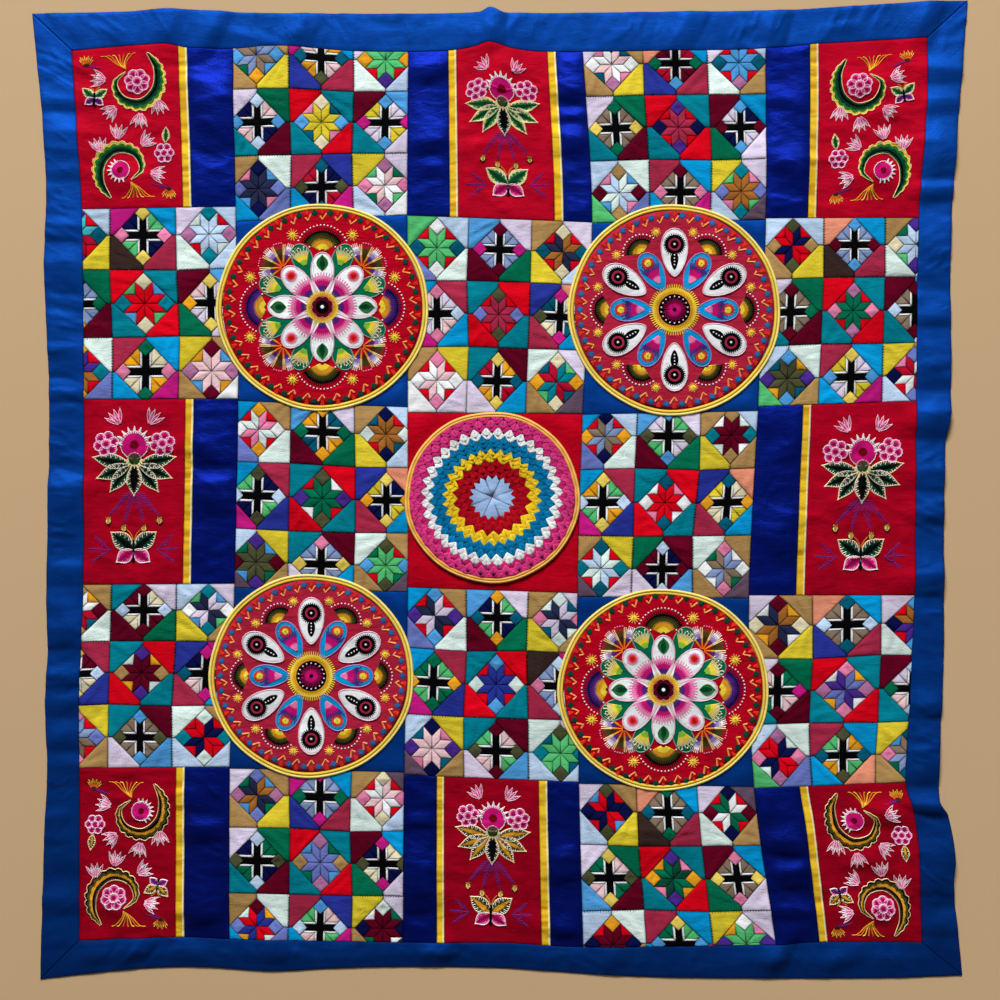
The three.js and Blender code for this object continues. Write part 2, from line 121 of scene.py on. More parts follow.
# The main folds: middle of the crest, turn from +X in degrees, half length, width above and below
# the crest, and rise.
FOLDS = [
    (-828, 742, 0, 80, 30, 24, 5), (-828, 682, 0, 90, 34, 94, 9), (-828, 502, 0, 80, 40, 30, 5),
    (-828, 432, 0, 80, 40, 60, 7), (-828, 270, 0, 80, 30, 55, 5), (-828, 190, 0, 80, 22, 24, 5),
    (-828, 8, 0, 85, 40, 78, 12), (-828, -145, 0, 80, 40, 38, 6), (-828, -262, 0, 80, 40, 42, 7),
    (-828, -352, 0, 80, 40, 24, 6), (-828, -396, 0, 80, 22, 40, 5), (-828, -460, 0, 80, 40, 36, 5),
    (-828, -522, 0, 80, 26, 40, 5), (-830, -700, 0, 80, 60, 30, 3), (-832, -776, 0, 80, 40, 26, 4),
    (840, 800, 0, 80, 30, 30, 5), (838, 742, 0, 80, 34, 30, 6), (830, 664, 0, 80, 60, 76, 9),
    (826, 576, 0, 90, 16, 28, 7), (822, 480, 0, 80, 50, 50, 5), (822, 332, 0, 80, 50, 22, 6),
    (820, 238, 0, 80, 50, 46, 5), (820, 150, 0, 85, 40, 54, 12), (818, 38, 0, 80, 60, 40, 8),
    (816, -38, 0, 80, 36, 30, 5), (815, -156, 0, 85, 60, 48, 10), (810, -404, 0, 80, 36, 30, 6),
    (808, -494, 0, 80, 60, 70, 9), (812, -596, -4, 90, 34, 24, 12), (828, -686, 0, 90, 50, 110, 11),
    (838, -826, 0, 80, 40, 20, 4), (-640, 885, 80, 95, 40, 40, 5), (-548, 880, 62, 95, 32, 30, 8),
    (-380, 880, 62, 95, 40, 40, 5), (-21, 885, 88, 95, 36, 36, 9), (345, 880, 62, 95, 40, 40, 5),
    (515, 882, 75, 95, 36, 36, 5), (803, 900, 70, 95, 36, 36, 6), (-775, -882, 75, 80, 40, 40, 6),
    (-700, -880, 50, 80, 36, 30, 7), (-435, -880, 70, 80, 44, 36, 6), (-120, -880, 40, 80, 36, 30, 6),
    (213, -885, 70, 80, 44, 36, 6), (523, -886, 60, 80, 34, 26, 9), (640, -890, 30, 80, 30, 30, 7),
    (-541, 742, 8, 75, 76, 100, 14), (-541, 562, 8, 75, 62, 14, 9), (-135, 806, 10, 65, 30, 34, 7),
    (-135, 672, 12, 70, 80, 36, 11), (-135, 614, -6, 65, 20, 36, 7), (-135, 546, 0, 65, 30, 12, 5),
    (136, 770, -8, 65, 70, 42, 10), (136, 712, 6, 60, 24, 14, 5), (136, 672, -10, 65, 24, 44, 9),
    (136, 598, 5, 60, 22, 14, 5), (545, 742, -6, 75, 60, 24, 5), (545, 622, 10, 75, 80, 72, 13),
    (-545, 86, -6, 75, 60, 42, 10), (-545, 16, 8, 75, 28, 66, 10), (-545, -108, -10, 75, 52, 42, 10),
    (525, 112, 10, 75, 30, 62, 11), (525, -92, -8, 75, 80, 50, 9), (-560, -578, -6, 75, 40, 34, 8),
    (-560, -634, 5, 75, 22, 38, 8), (-560, -785, 10, 75, 100, 42, 9), (-150, -588, 8, 65, 32, 16, 5),
    (-150, -626, -4, 65, 22, 16, 5), (-150, -720, 8, 70, 76, 84, 13), (120, -618, -8, 65, 50, 22, 7),
    (120, -694, 6, 65, 50, 52, 10), (120, -828, -5, 65, 50, 22, 7), (548, -664, -7, 80, 76, 32, 12),
    (548, -720, 5, 80, 24, 42, 9), (548, -792, -6, 80, 30, 26, 7), (-703, 600, -8, 90, 36, 40, 6),
    (-6, 790, 88, 70, 40, 40, 8), (703, 779, 8, 90, 36, 40, 6), (703, 600, 4, 90, 36, 40, 6),
    (735, -606, -10, 90, 40, 36, 9), (690, -690, -3, 95, 46, 36, 7), (703, -790, 3, 90, 36, 40, 6),
]


def curve_through(table):
    """A smooth curve through (along, across) points, by cubic pieces with mean slopes."""
    along, across = np.array(sorted(table), float).T
    slope = np.gradient(across, along)
    slope[1:-1] = (across[2:] - across[:-2]) / (along[2:] - along[:-2])

    def at(place):
        place = np.clip(np.asarray(place, float), along[0], along[-1])
        i = np.clip(np.searchsorted(along, place) - 1, 0, len(along) - 2)
        step = along[i + 1] - along[i]
        u = (place - along[i]) / step
        start = across[i] * (1 + 2 * u) + slope[i] * step * u
        end = across[i + 1] * (3 - 2 * u) - slope[i + 1] * step * (1 - u)
        return start * (1 - u) ** 2 + end * u * u

    return at


def mix(a, b, share):
    """The value at a share of the way from a to b."""
    return a + (b - a) * share


def ramp(value, low, high):
    """0 up to low, 1 from high on, and a smooth step between."""
    share = np.clip((value - low) / (high - low), 0, 1)
    return share * share * (3 - 2 * share)


def bump(distance, reach):
    """1 in the middle and 0 from the reach on."""
    return 0.5 + 0.5 * np.cos(np.pi * np.minimum(np.abs(distance) / reach, 1))


def beyond_rounds(x, y, clear, blend):
    """0 on and near the round pieces, 1 away from them."""
    free = np.ones_like(x)
    for centre_x, centre_y, wide, _ in ROUNDS.values():
        away = np.hypot(x - centre_x, y - centre_y) - wide
        free = np.minimum(free, ramp(away, clear, clear + blend))
    return free


def waves(x, y, length, heading, wander, seed):
    """Soft waves from -1 to 1 whose crests run about the heading, in degrees."""
    draw = random.Random(seed)
    total = 0
    for _ in range(6):
        turn = math.radians(heading + draw.uniform(-wander, wander))
        pitch = length * draw.uniform(0.65, 1.6)
        across = y * math.cos(turn) - x * math.sin(turn)
        total = total + np.sin(across * (2 * math.pi / pitch) + draw.uniform(0, 7))
    return total / 3.2


def wrinkles(x, y, seed=3):
    """The small wrinkles of cloth that was folded away, most of them running level."""
    bent_x = x + WRINKLE_SWAY * waves(x, y, 190, 90, 50, seed)
    bent_y = y + WRINKLE_SWAY * waves(x, y, 170, 0, 50, seed + 1)
    broad = waves(bent_x, bent_y, 110, 0, 30, seed + 2)
    fine = waves(bent_x, bent_y, 40, 0, 40, seed + 3)
    crease = np.clip(1 - 2.6 * np.abs(waves(bent_x, bent_y, 150, 0, 60, seed + 4)), 0, 1) ** 2
    share = 0.3 + 0.7 * ramp(waves(x, y, 220, 40, 80, seed + 5), -0.6, 0.8)
    return np.maximum(1.1 * (1.2 + broad) + share * (0.6 * (1.2 + fine) + 1.3 * crease), 0)


def crinkles(x, y, heading, seed):
    """A net of short creases from 0 to 1 with sharp crests, most of them running about the heading."""
    bent_x = x + CRINKLE_SWAY * waves(x, y, 70, heading + 90, 60, seed)
    bent_y = y + CRINKLE_SWAY * waves(x, y, 70, heading, 60, seed + 1)
    net = np.zeros_like(x)
    for k in (2, 4):
        crest = np.clip(1 - 3.6 * np.abs(waves(bent_x, bent_y, 78, heading, 50, seed + k)), 0, 1)
        net = np.maximum(net, crest * ramp(waves(x, y, 80, heading + 50, 90, seed + k + 1), -0.35, 0.45))
    return net


def rucks(x, y, heading, seed, swell):
    """Swells of a given rise and wrinkles of a plain length of cloth that no patchwork holds flat."""
    sway = CRINKLE_SWAY * waves(x, y, 140, heading + 70, 50, seed)
    turn = math.radians(heading)
    bent_x, bent_y = x - sway * math.sin(turn), y + sway * math.cos(turn)
    swells = np.maximum(0.8 + waves(bent_x, bent_y, 125, heading + 12, 24, seed + 4), 0)
    ridges = np.maximum(1 + waves(bent_x, bent_y, 36, heading, 15, seed + 1), 0)
    slack = ramp(waves(x, y, 150, heading + 20, 80, seed + 3), -0.8, 0.7)
    slack = (0.35 + 0.65 * slack) * (0.7 * ridges + 1.7 * crinkles(x, y, heading, seed + 5))
    return 0.3 + swell * swells + slack


def lie(x, y):
    """The height of the cloth's underside above the floor, in millimetres."""
    rise = np.zeros_like(x)
    for fold_x, fold_y, turn, run, above, below, height in FOLDS:
        c, s = math.cos(math.radians(turn)), math.sin(math.radians(turn))
        along = (x - fold_x) * c + (y - fold_y) * s
        off = (y - fold_y) * c - (x - fold_x) * s
        sharp = np.clip(1 - off / above, 0, 1) ** 1.5
        crest = np.where(off > 0, sharp, np.clip(1 - (off / below) ** 2, 0, 1))
        rise = np.maximum(rise, height * bump(along, run) * crest)
    rise = rise * beyond_rounds(x, y, clear=100, blend=60)
    return FLOOR_GAP + rise + wrinkles(x, y) * beyond_rounds(x, y, clear=2, blend=40)


def linear(colour):
    """A hex colour as linear RGBA."""
    parts = [int(colour[i:i + 2], 16) / 255 for i in (1, 3, 5)]
    return tuple(((p + 0.055) / 1.055) ** 2.4 if p > 0.04045 else p / 12.92 for p in parts) + (1.0,)


def feed(tree, node, inputs):
    """Fills inputs of a node: each takes a constant, or a link from another node's output."""
    for name, value in inputs.items():
        if isinstance(value, bpy.types.NodeSocket):
            tree.links.new(value, node.inputs[name])
        else:
            node.inputs[name].default_value = value


def add_node(tree, kind, inputs=None, **settings):
    """A new node of a tree, with its settings and inputs."""
    node = tree.nodes.new(kind)
    for name, value in settings.items():
        setattr(node, name, value)
    feed(tree, node, inputs or {})
    return node


def woven(name, rough, lustre, thread, crumple, tone_shift):
    """A woven cloth in each piece's dye with any painted light and shade: the share of light its smooth
    threads mirror in their own colour, the pitch of the crossing threads in mm, level crumples and an uneven
    colour."""
    material = bpy.data.materials.new(name)
    material.use_nodes = True
    tree = material.node_tree
    place = add_node(tree, "ShaderNodeTexCoord").outputs["Object"]
    uneven = add_node(tree, "ShaderNodeTexNoise", {
        "Vector": place, "Scale": 14, "Detail": 6, "Roughness": 0.65})
    tone = add_node(tree, "ShaderNodeMapRange", {
        "Value": uneven.outputs["Fac"], "From Min": 0.3, "From Max": 0.7,
        "To Min": 1 - tone_shift, "To Max": 1 + tone_shift * 0.6})
    dye_and_painted_light = add_node(tree, "ShaderNodeAttribute", attribute_name="dye_and_painted_light")
    dyed = add_node(tree, "ShaderNodeMix", data_type="RGBA", blend_type="MULTIPLY", inputs={
        "Factor": 1, "A": dye_and_painted_light.outputs["Color"], "B": tone.outputs["Result"]})
    level = add_node(tree, "ShaderNodeMapping", {"Vector": place, "Scale": (0.4, 1, 1)})
    creased = add_node(tree, "ShaderNodeTexNoise", {
        "Vector": level.outputs["Vector"], "Scale": 75, "Detail": 5, "Roughness": 0.6, "Distortion": 0.6})
    soft = add_node(tree, "ShaderNodeBump", {
        "Strength": crumple, "Distance": 0.004, "Height": creased.outputs["Fac"]})
    above = soft.outputs["Normal"]
    for direction in ("X", "Y"):
        threads = add_node(tree, "ShaderNodeTexWave", bands_direction=direction, inputs={
            "Vector": place, "Scale": 0.314 / (thread * MM), "Distortion": 1.2, "Detail": 1})
        weave = add_node(tree, "ShaderNodeBump", {
            "Strength": 0.35, "Distance": 0.25 * thread * MM, "Height": threads.outputs["Fac"],
            "Normal": above})
        above = weave.outputs["Normal"]
    feed(tree, tree.nodes["Principled BSDF"], {
        "Base Color": dyed.outputs["Result"], "Roughness": rough, "Metallic": lustre, "Normal": above,
        "Specular IOR Level": 0.07, "Specular Tint": (0.12, 0.12, 0.12, 1), "Sheen Weight": 0.02,
        "Sheen Roughness": 0.4})
    return material


def add_object(name, data):
    """A new object of the scene, at the origin."""
    made = bpy.data.objects.new(name, data)
    bpy.context.collection.objects.link(made)
    return made


def make_piece(name, points, faces, material, dyes):
    """A mesh object from points in millimetres, shaded smooth, with a colour for each point: its dye, with
    any painted light and shade.
    """
    mesh = bpy.data.meshes.new(name)
    mesh.from_pydata((np.asarray(points) * MM).tolist(), [], faces)
    mesh.polygons.foreach_set("use_smooth", np.ones(len(mesh.polygons), bool))
    layer = mesh.attributes.new("dye_and_painted_light", "FLOAT_COLOR", "POINT")
    layer.data.foreach_set("color", np.asarray(dyes, np.float32).ravel())
    mesh.materials.append(material)
    return add_object(name, mesh)


def dye_with_painted_light(colour, y, drop, tone_shift=PAINTED_HEAD_LIGHT):
    """One colour for each point of a cloth: its dye, painted lighter towards the head end and darker towards
    the foot as the window light falls, with painted shade down in its seams.
    """
    tint = np.ones(drop.shape + (4,)) * linear(colour)
    tone = (1 + tone_shift * y / HALF_LENGTH) * (1 - SEAM_SHADE * np.clip(drop / SEAM_DEPTH, 0, 1))
    tint[..., :3] *= tone[..., None]
    return tint


def spaced(length, step):
    """Shares of a length for an odd row of points, closer together at both seams."""
    ends = np.array([0, 0.7, SEAM_REACH])
    middle = np.linspace(SEAM_REACH, length - SEAM_REACH, 2 * max(1, round(length / step / 2)) + 1)[1:-1]
    return np.concatenate([ends, middle, length - ends[::-1]]) / length


def seam_drop(share, length):
    """How far the cloth dips towards the seams at both ends of a length."""
    near = np.minimum(share, 1 - share) * length
    return SEAM_DEPTH * np.clip(1 - near / SEAM_REACH, 0, 1) ** 2


def from_seam(share, length, reach):
    """0 at both ends of a length and 1 from the reach on."""
    return ramp(np.minimum(share, 1 - share) * length, 0, reach)


def sheet_faces(rows, columns):
    """Faces of a closed sheet over an odd grid: the upper side, an underside at every second point
    and the rim between them."""
    top = np.arange(rows * columns).reshape(rows, columns)
    low = np.arange((rows // 2 + 1) * (columns // 2 + 1)).reshape(rows // 2 + 1, -1) + rows * columns
    quads, rims = [], []
    for grid in (top, low):
        corners = [grid[:-1, :-1], grid[1:, :-1], grid[1:, 1:], grid[:-1, 1:]]
        quads.append(np.stack(corners, -1).reshape(-1, 4))
        rims.append(np.concatenate([grid[:-1, 0], grid[-1, :-1], grid[:0:-1, -1], grid[0, :0:-1]]))
    upper, under = rims
    wall = np.stack([upper[::2], under, np.roll(under, -1), np.roll(upper, -2)[::2], upper[1::2]], -1)
    return quads[0].tolist() + quads[1][:, ::-1].tolist() + wall.tolist()


def lay_sheet(name, x, y, top, material, dyes, lift=0):
    """A closed sheet over plan points, lying on the floor or lifted in rucks, its upper side at top."""
    under = lie(x, y) + lift
    upper = np.stack([x, y, under + top], -1).reshape(-1, 3)
    lower = np.stack([x, y, under], -1)[::2, ::2].reshape(-1, 3)
    colours = np.concatenate([dyes.reshape(-1, 4), dyes[::2, ::2].reshape(-1, 4)])
    return make_piece(name, np.concatenate([upper, lower]), sheet_faces(*x.shape), material, colours)


def register(piece, node):
    """Puts a piece on the quilt's one body, in the place of a CAD node."""
    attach(piece, "root")
    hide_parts(node)


def put_down(piece, node):
    """Registers a sheet laid on the floor."""
    register(piece, node)


long_seam = [curve_through(table) for table in LONG_SEAMS]
top_edge, top_seam = curve_through(TOP_EDGE), curve_through(TOP_SEAM)
foot_seam, foot_edge = curve_through(FOOT_SEAM), curve_through(FOOT_EDGE)
royal_cotton = woven("royal cotton", rough=0.5, lustre=0.45, thread=0.7, crumple=0.2, tone_shift=0.18)

along = spaced(BORDER_RUN, BORDER_STEP)
across = spaced(BORDER_WIDTH, 2 * BORDER_STEP)
corner_in = {"tl": (-813, 834), "tr": (811, 859), "br": (801, -859), "bl": (-799, -855)}
corner_out = {"tl": (-888, 904), "tr": (888, 929), "br": (878, -922), "bl": (-873, -929)}
for node, start, end, inner, outer in (
    ("border_top", "tl", "tr", top_seam, top_edge),
    ("border_bottom", "br", "bl", foot_seam, foot_edge),
    ("border_right", "tr", "br", long_seam[6], long_seam[7]),
    ("border_left", "bl", "tl", long_seam[1], long_seam[0]),
):
    level = node in ("border_top", "border_bottom")
    axis = 0 if level else 1
    inner_run = mix(corner_in[start][axis], corner_in[end][axis], along)
    outer_run = mix(corner_out[start][axis], corner_out[end][axis], along)
    inner_line = (inner_run, inner(inner_run)) if level else (inner(inner_run), inner_run)
    outer_line = (outer_run, outer(outer_run)) if level else (outer(outer_run), outer_run)
    x = mix(outer_line[0][None, :], inner_line[0][None, :], across[:, None])
    y = mix(outer_line[1][None, :], inner_line[1][None, :], across[:, None])
    drop = np.maximum(seam_drop(across, BORDER_WIDTH)[:, None], seam_drop(along, BORDER_RUN)[None, :])
    held = ramp((1 - across) * BORDER_WIDTH, 0, BORDER_HOLD)[:, None]
    held = held * from_seam(along, BORDER_RUN, END_HOLD)[None, :]
    lift = held * rucks(x, y, 84 if level else 0, 21 + level, BORDER_SWELL)
    if node == "border_bottom":
        press = HEM_PRESS - HEM_PRESS * ramp(across * BORDER_WIDTH, 0, HEM_REACH)[:, None]
        lift -= press * (lie(x, y) + lift - FLOOR_GAP)
    from_end = np.minimum(along, 1 - along) * BORDER_RUN
    lap = LAP_RISE * np.exp(-from_end / LAP_REACH)[None, :] if level else 0
    # The border's colour: royal dye with painted light, lighter towards the head, and painted shade in the
    # seams.
    dyes = dye_with_painted_light(ROYAL, y, drop, BORDER_PAINTED_HEAD_LIGHT)
    piece = lay_sheet("cloth_" + node, x, y, CLOTH - drop + lap, royal_cotton, dyes, lift)
    put_down(piece, node)

# Navy bands and yellow strips: upright lengths of navy sateen beside each red panel, with a narrow
# yellow strip let into the seam between them. The strips pucker where the needle pulled them.
BAND_STEP = 4.6
BAND_SWELL = 1.2
SIDE_HOLD = 16
FOOT_HOLD = 24
NAVY = "#091C7C"
STRIP_STEP = 3.4
STRIP_ACROSS = 2.6
STRIP_RISE = 0.5
PULL_DEPTH = 0.7
STRIP_SHADE = 0.6
CROSS_SEAMS = [
    [(533, 538), (172, 173), (-180, -178), (-528, -526)],
    [(510, 522), (169, 157), (-186, -194), (-529, -536)],
    [(521, 508), (147, 144), (-185, -196), (-541, -555)],
    [(507, 513), (143, 150), (-203, -206), (-558, -564)],
    [(516, 517), (158, 169), (-200, -200), (-567, -555)],
]
# The share of a banded block's width at which its bands meet, and the bands from left to right.
BANDED_BLOCKS = {
    (1, 1): (("red", "yellow", "navy"), (0.66, 0.715)),
    (1, 3): (("navy", "yellow", "red", "yellow", "navy"), (0.23, 0.275, 0.797, 0.845)),
    (1, 5): (("navy", "yellow", "red"), (0.275, 0.328)),
    (3, 1): (("red", "yellow", "navy"), (0.658, 0.711)),
    (3, 5): (("navy", "yellow", "red"), (0.285, 0.336)),
    (5, 1): (("red", "yellow", "navy"), (0.643, 0.7)),
    (5, 3): (("navy", "yellow", "red", "yellow", "navy"), (0.188, 0.229, 0.77, 0.819)),
    (5, 5): (("navy", "yellow", "red"), (0.3, 0.356)),
}


def cross_seam(column, index, share):
    """The height of a block's seam: index 0 is the head seam, 5 the foot seam."""
    if index in (0, 5):
        line = top_seam if index == 0 else foot_seam
        ends = [float(long_seam[side](line(0))) for side in (column, column + 1)]
        return line(mix(ends[0], ends[1], share))
    left, right = CROSS_SEAMS[column - 1][index - 1]
    return mix(left, right, share)


def block_point(row, column, share, down):
    """The plan point at a share of a block's width and a share of its height."""
    y = mix(cross_seam(column, row - 1, share), cross_seam(column, row, share), down)
    return mix(long_seam[column](y), long_seam[column + 1](y), share), y


def band_grid(row, column, left, right, step, across_step=None):
    """Plan points of a band between two shares of a block's width, the dip at its seams, and how
    free of them it is."""
    x, y = block_point(row, column, np.array([left, right, left]), np.array([0.5, 0.5, 1.0]))
    wide, high = float(x[1] - x[0]), 2 * float(y[0] - y[2])
    shares, downs = spaced(wide, across_step or step), spaced(high, step)
    x, y = block_point(row, column, mix(left, right, shares)[None, :], downs[:, None])
    drop = np.maximum(seam_drop(shares, wide)[None, :], seam_drop(downs, high)[:, None])
    held = from_seam(shares, wide, SIDE_HOLD)[None, :] * from_seam(downs, high, FOOT_HOLD)[:, None]
    return x, y, drop, held


def bands_of(cloth):
    """Every band of one cloth: its node name, block and shares."""
    kinds = {"red": "red_panel", "navy": "navy_panel", "yellow": "yellow_strip"}
    found = []
    for (row, column), (cloths, cuts) in BANDED_BLOCKS.items():
        stops = (0, *cuts, 1)
        for i, each in enumerate(cloths):
            side = ("_left" if i < 2 else "_right") if cloths.count(each) > 1 else ""
            if each == cloth:
                found.append((f"{kinds[cloth]}_r{row}c{column}{side}", row, column, stops[i], stops[i + 1]))
    return found


navy_sateen = woven("navy sateen", rough=0.41, lustre=0.56, thread=0.5, crumple=0.4, tone_shift=0.22)
for node, row, column, left, right in bands_of("navy"):
    x, y, drop, held = band_grid(row, column, left, right, BAND_STEP)
    lift = held * rucks(x, y, 6, 30 + row, BAND_SWELL)
    # Navy dye with painted light towards the head and painted shade in the seams.
    dyes = dye_with_painted_light(NAVY, y, drop)
    piece = lay_sheet("cloth_" + node, x, y, CLOTH - drop, navy_sateen, dyes, lift)
    put_down(piece, node)

yellow_cotton = woven("yellow cotton", rough=0.65, lustre=0.1, thread=0.6, crumple=0.3, tone_shift=0.1)
# Yellow dye, a cream painted highlight for the folded edge and a gold painted shade for the puckers.
strip_colours_with_painted_light = np.array([linear(c) for c in ("#F2C62C", "#FBF0BC", "#B8790C")])
for node, row, column, left, right in bands_of("yellow"):
    x, y, drop, held = band_grid(row, column, left, right, STRIP_STEP, STRIP_ACROSS)
    seed = 40 + row * 7 + column
    tuck = np.clip(1 - 3 * np.abs(waves(x, y, 60, 4, 8, seed + 1)), 0, 1)
    pull = np.maximum(np.clip(waves(x, y, 34, 0, 10, seed), 0, 1) ** 2, 0.8 * tuck)
    # A painted highlight along the folded edge on one side, painted shade in the puckers and painted shade
    # down in the seams.
    painted_edge_highlight = ramp(np.linspace(0, 1, x.shape[1]), 0.7, 0.78)[None, :] * np.ones_like(x)
    dyes = mix(strip_colours_with_painted_light[0], strip_colours_with_painted_light[1], painted_edge_highlight[..., None])
    dyes = mix(dyes, strip_colours_with_painted_light[2], 0.8 * (pull * (1 - painted_edge_highlight))[..., None])
    dyes[..., :3] *= (1 - STRIP_SHADE * drop / SEAM_DEPTH)[..., None]
    top = CLOTH + STRIP_RISE - drop - PULL_DEPTH * pull
    piece = lay_sheet("cloth_" + node, x, y, top, yellow_cotton, dyes)
    put_down(piece, node)

# Red panels: plain red cotton worked with bright cotton threads in straight, satin and outline
# stitch. The flowers, leaves, ferns and butterflies are laid on the cloth, couched flat.
THREADS = {
    "white": "#F4EDEE", "pink": "#F08CBC", "magenta": "#D0187E", "rose": "#9C1250", "gold": "#DDA02A",
    "yellow": "#F2DC48", "olive": "#4C4A20", "green": "#2F7E3A", "dark_green": "#0B4A30",
    "light_green": "#94C84A", "violet": "#5A2A84",
    "black": "#0C0B0E", "orange": "#EC7A28", "brown": "#4E2A14", "red": "#D01020", "cream": "#F2DFA8",
    "peach": "#F4A458", "grey_green": "#86A898", "lilac": "#A78CC8", "crimson": "#7E0818",
    "vermilion": "#E23A1C", "pale_pink": "#F4C8DA", "navy": "#141450",
}
EDGE_LIFT = 0.3
FEATHER_LIFT = 0.7
PANEL_STEP = 5.2
PANEL_RED = "#A80420"
PANEL_CREASE = 1.5
STITCH_VALUES = ("heading", "pitch", "span", "girth")
# Threads of the leaves in each row of panels: on the even side and on the frilled side.
LEAF_THREADS = {1: (("black", "dark_green"), ("dark_green", "green", "yellow")),
                3: (("black", "olive"), ("black", "dark_green", "olive")),
                5: (("black", "brown"), ("gold", "olive", "black"))}


def spin(degrees):
    """A turn in degrees, as a complex factor."""
    return cmath.exp(1j * math.radians(degrees))


def smooth_line(places, step):
    """Points of a smooth curve through complex plan places."""
    places = [complex(p) for p in places]
    ends = [2 * places[0] - places[1], *places, 2 * places[-1] - places[-2]]
    line = []
    for a, b, c, d in zip(ends, ends[1:], ends[2:], ends[3:]):
        count = max(2, round(abs(c - b) / step))
        for i in range(count):
            u = i / count
            line.append(0.5 * (2 * b + (c - a) * u + (2 * a - 5 * b + 4 * c - d) * u * u
                               + (3 * b - a - 3 * c + d) * u ** 3))
    return line + [places[-1]]


def outline(line, girth, thread, lift=0):
    """Outline stitch along a line of places. A stitch is its start, end, girth, thread and lift."""
    return [(a, b + (b - a) * 0.15, girth, thread, lift) for a, b in zip(line, line[1:])]


def moved(stitches, place, turn=0, lift=0, size=1, mirror=False):
    """A motif set down at a place, turned in degrees, lifted over others and scaled."""
    made = []
    for start, end, girth, thread, height in stitches:
        if mirror:
            start, end = -start.conjugate(), -end.conjugate()
        start, end = (place + each * size * spin(turn) for each in (start, end))
        made.append((start, end, girth, thread, height + lift))
    return made


def fan(heading, spread, inner, outer, count, threads, girth=1.5):
    """Straight stitches that spread from the origin, long and short, changing thread on the way."""
    made = []
    for i in range(count):
        turn = spin(heading + spread * (i / max(count - 1, 1) - 0.5))
        reach = outer * (1 if i % 2 else 0.86)
        for k, thread in enumerate(threads):
            begin = mix(inner, reach, k / len(threads))
            end = mix(inner, reach, (k + 1) / len(threads))
            made.append((turn * begin, turn * (end + 0.8), girth, thread, 0))
    return made


def banded(root, tip, threads):
    """One line of satin stitch from root to tip in bands of thread that overlap."""
    count = len(threads)
    return [(mix(root, tip, k / count), mix(root, tip, min(1, (k + 1.2) / count)), 2.3, thread, 0)
            for k, thread in enumerate(threads)]


def leaf(length, width, threads, rim, feather=None):
    """A leaf along +X: slanting satin stitch out of the vein, a feathered edge and an outline."""
    made, sides = [], {1: [0j], -1: [0j]}
    count = max(5, round(length / 2.1))
    for i in range(1, count):
        half = width / 2 * math.sin(math.pi * (i / count) ** 0.85)
        for side in (1, -1):
            root = complex(i / count * length - 0.45 * half, -0.8 * side)
            tip = complex(i / count * length + 0.2 * half, side * half)
            made += banded(root, tip, threads)
            if feather and i % 2:
                made.append((mix(root, tip, 0.55 + 0.2 * (i % 4 > 1)), tip, 1.5, feather, FEATHER_LIFT))
            sides[side].append(tip)
    for side in (1, -1):
        made += outline(sides[side][::2] + [complex(length * 1.03, 0)], 2.2, rim, EDGE_LIFT)
    return made


def round_petal(radius):
    """A round petal of satin stitch out of its middle, with a pale outline."""
    made = fan(0, 345, 0, radius * 1.1, max(12, round(radius * 2.2)), ("rose", "magenta", "pink"), 2.2)
    edge = [radius * spin(30 * k) for k in range(13)]
    return made + outline(edge, 1.8, "white", EDGE_LIFT)


def peony(radius, petals):
    """A full flower: a ring of round petals about a middle one."""
    made = []
    for i in range(petals):
        made += moved(round_petal(radius * 0.4), radius * 0.62 * spin(360 / petals * i), 360 / petals * i)
    return made + moved(round_petal(radius * 0.38), 0j, 0, 0.5)


def thistle(radius, threads, fringe):
    """A flower head along +X: straight stitches out of the middle and a fringe of pale spikes."""
    made = fan(0, 350, 0, radius, round(radius * 2.4), threads, 2.3)
    edge = [radius * spin(24 * k) for k in range(16)]
    made += outline(edge, 1.6, fringe, EDGE_LIFT)
    for i in range(9):
        heading = 21 * (i - 4)
        for off in (-8, -4, 4, 8):
            root = radius * 0.84 * spin(heading + off)
            made.append((root, radius * 1.36 * spin(heading), 1.6, fringe, EDGE_LIFT))
    return made


def tassel(length, threads, rim):
    """A tassel flower along +X: fine stitches inside outlines that end in four points."""
    made = fan(0, 58, length * 0.22, length * 0.8, 12, threads, 1.5)
    for heading in (-30, -10, 10, 30):
        for off in (-8, 8):
            bend = (length * 0.16 * spin(heading), length * 0.6 * spin(heading + off), length * spin(heading))
            made += outline(smooth_line(bend, 6), 1.5, rim, EDGE_LIFT)
    return made


def scroll(places, width, even, frilled, rim):
    """A long curling leaf along a line: satin stitch across it in bands of thread, one side even and
    the other frilled, both outlined."""
    line = smooth_line(places, 2.1)
    made, edges = [], {1: [], -1: []}
    for i in range(1, len(line) - 1):
        ahead = line[i + 1] - line[i - 1]
        ahead /= abs(ahead)
        full = width * math.sin(math.pi * (i / len(line)) ** 0.75)
        for side, threads in ((-1, even), (1, frilled)):
            half = 0.65 * full if side == -1 else full * (0.95 + 0.45 * abs(math.sin(0.5 * i)))
            tip = line[i] + ahead * complex(0.25 * half, side * half)
            made += banded(line[i] - 0.6j * side * ahead, tip, threads)
            edges[side].append(tip)
    for edge in edges.values():
        made += outline(edge[::2], 1.9, rim, EDGE_LIFT)
    return made


def fern(length, thread):
    """A feathery sprig along +X."""
    made = outline([complex(length * k / 6, 0) for k in range(7)], 1.5, thread)
    count = round(length / 6)
    for i in range(2, count):
        reach = 3 + 0.16 * length * (1 - i / count)
        for side in (1, -1):
            root = complex(length * i / count, 0)
            made.append((root, root + reach * spin(side * 42), 1.2, thread, 0))
    return made


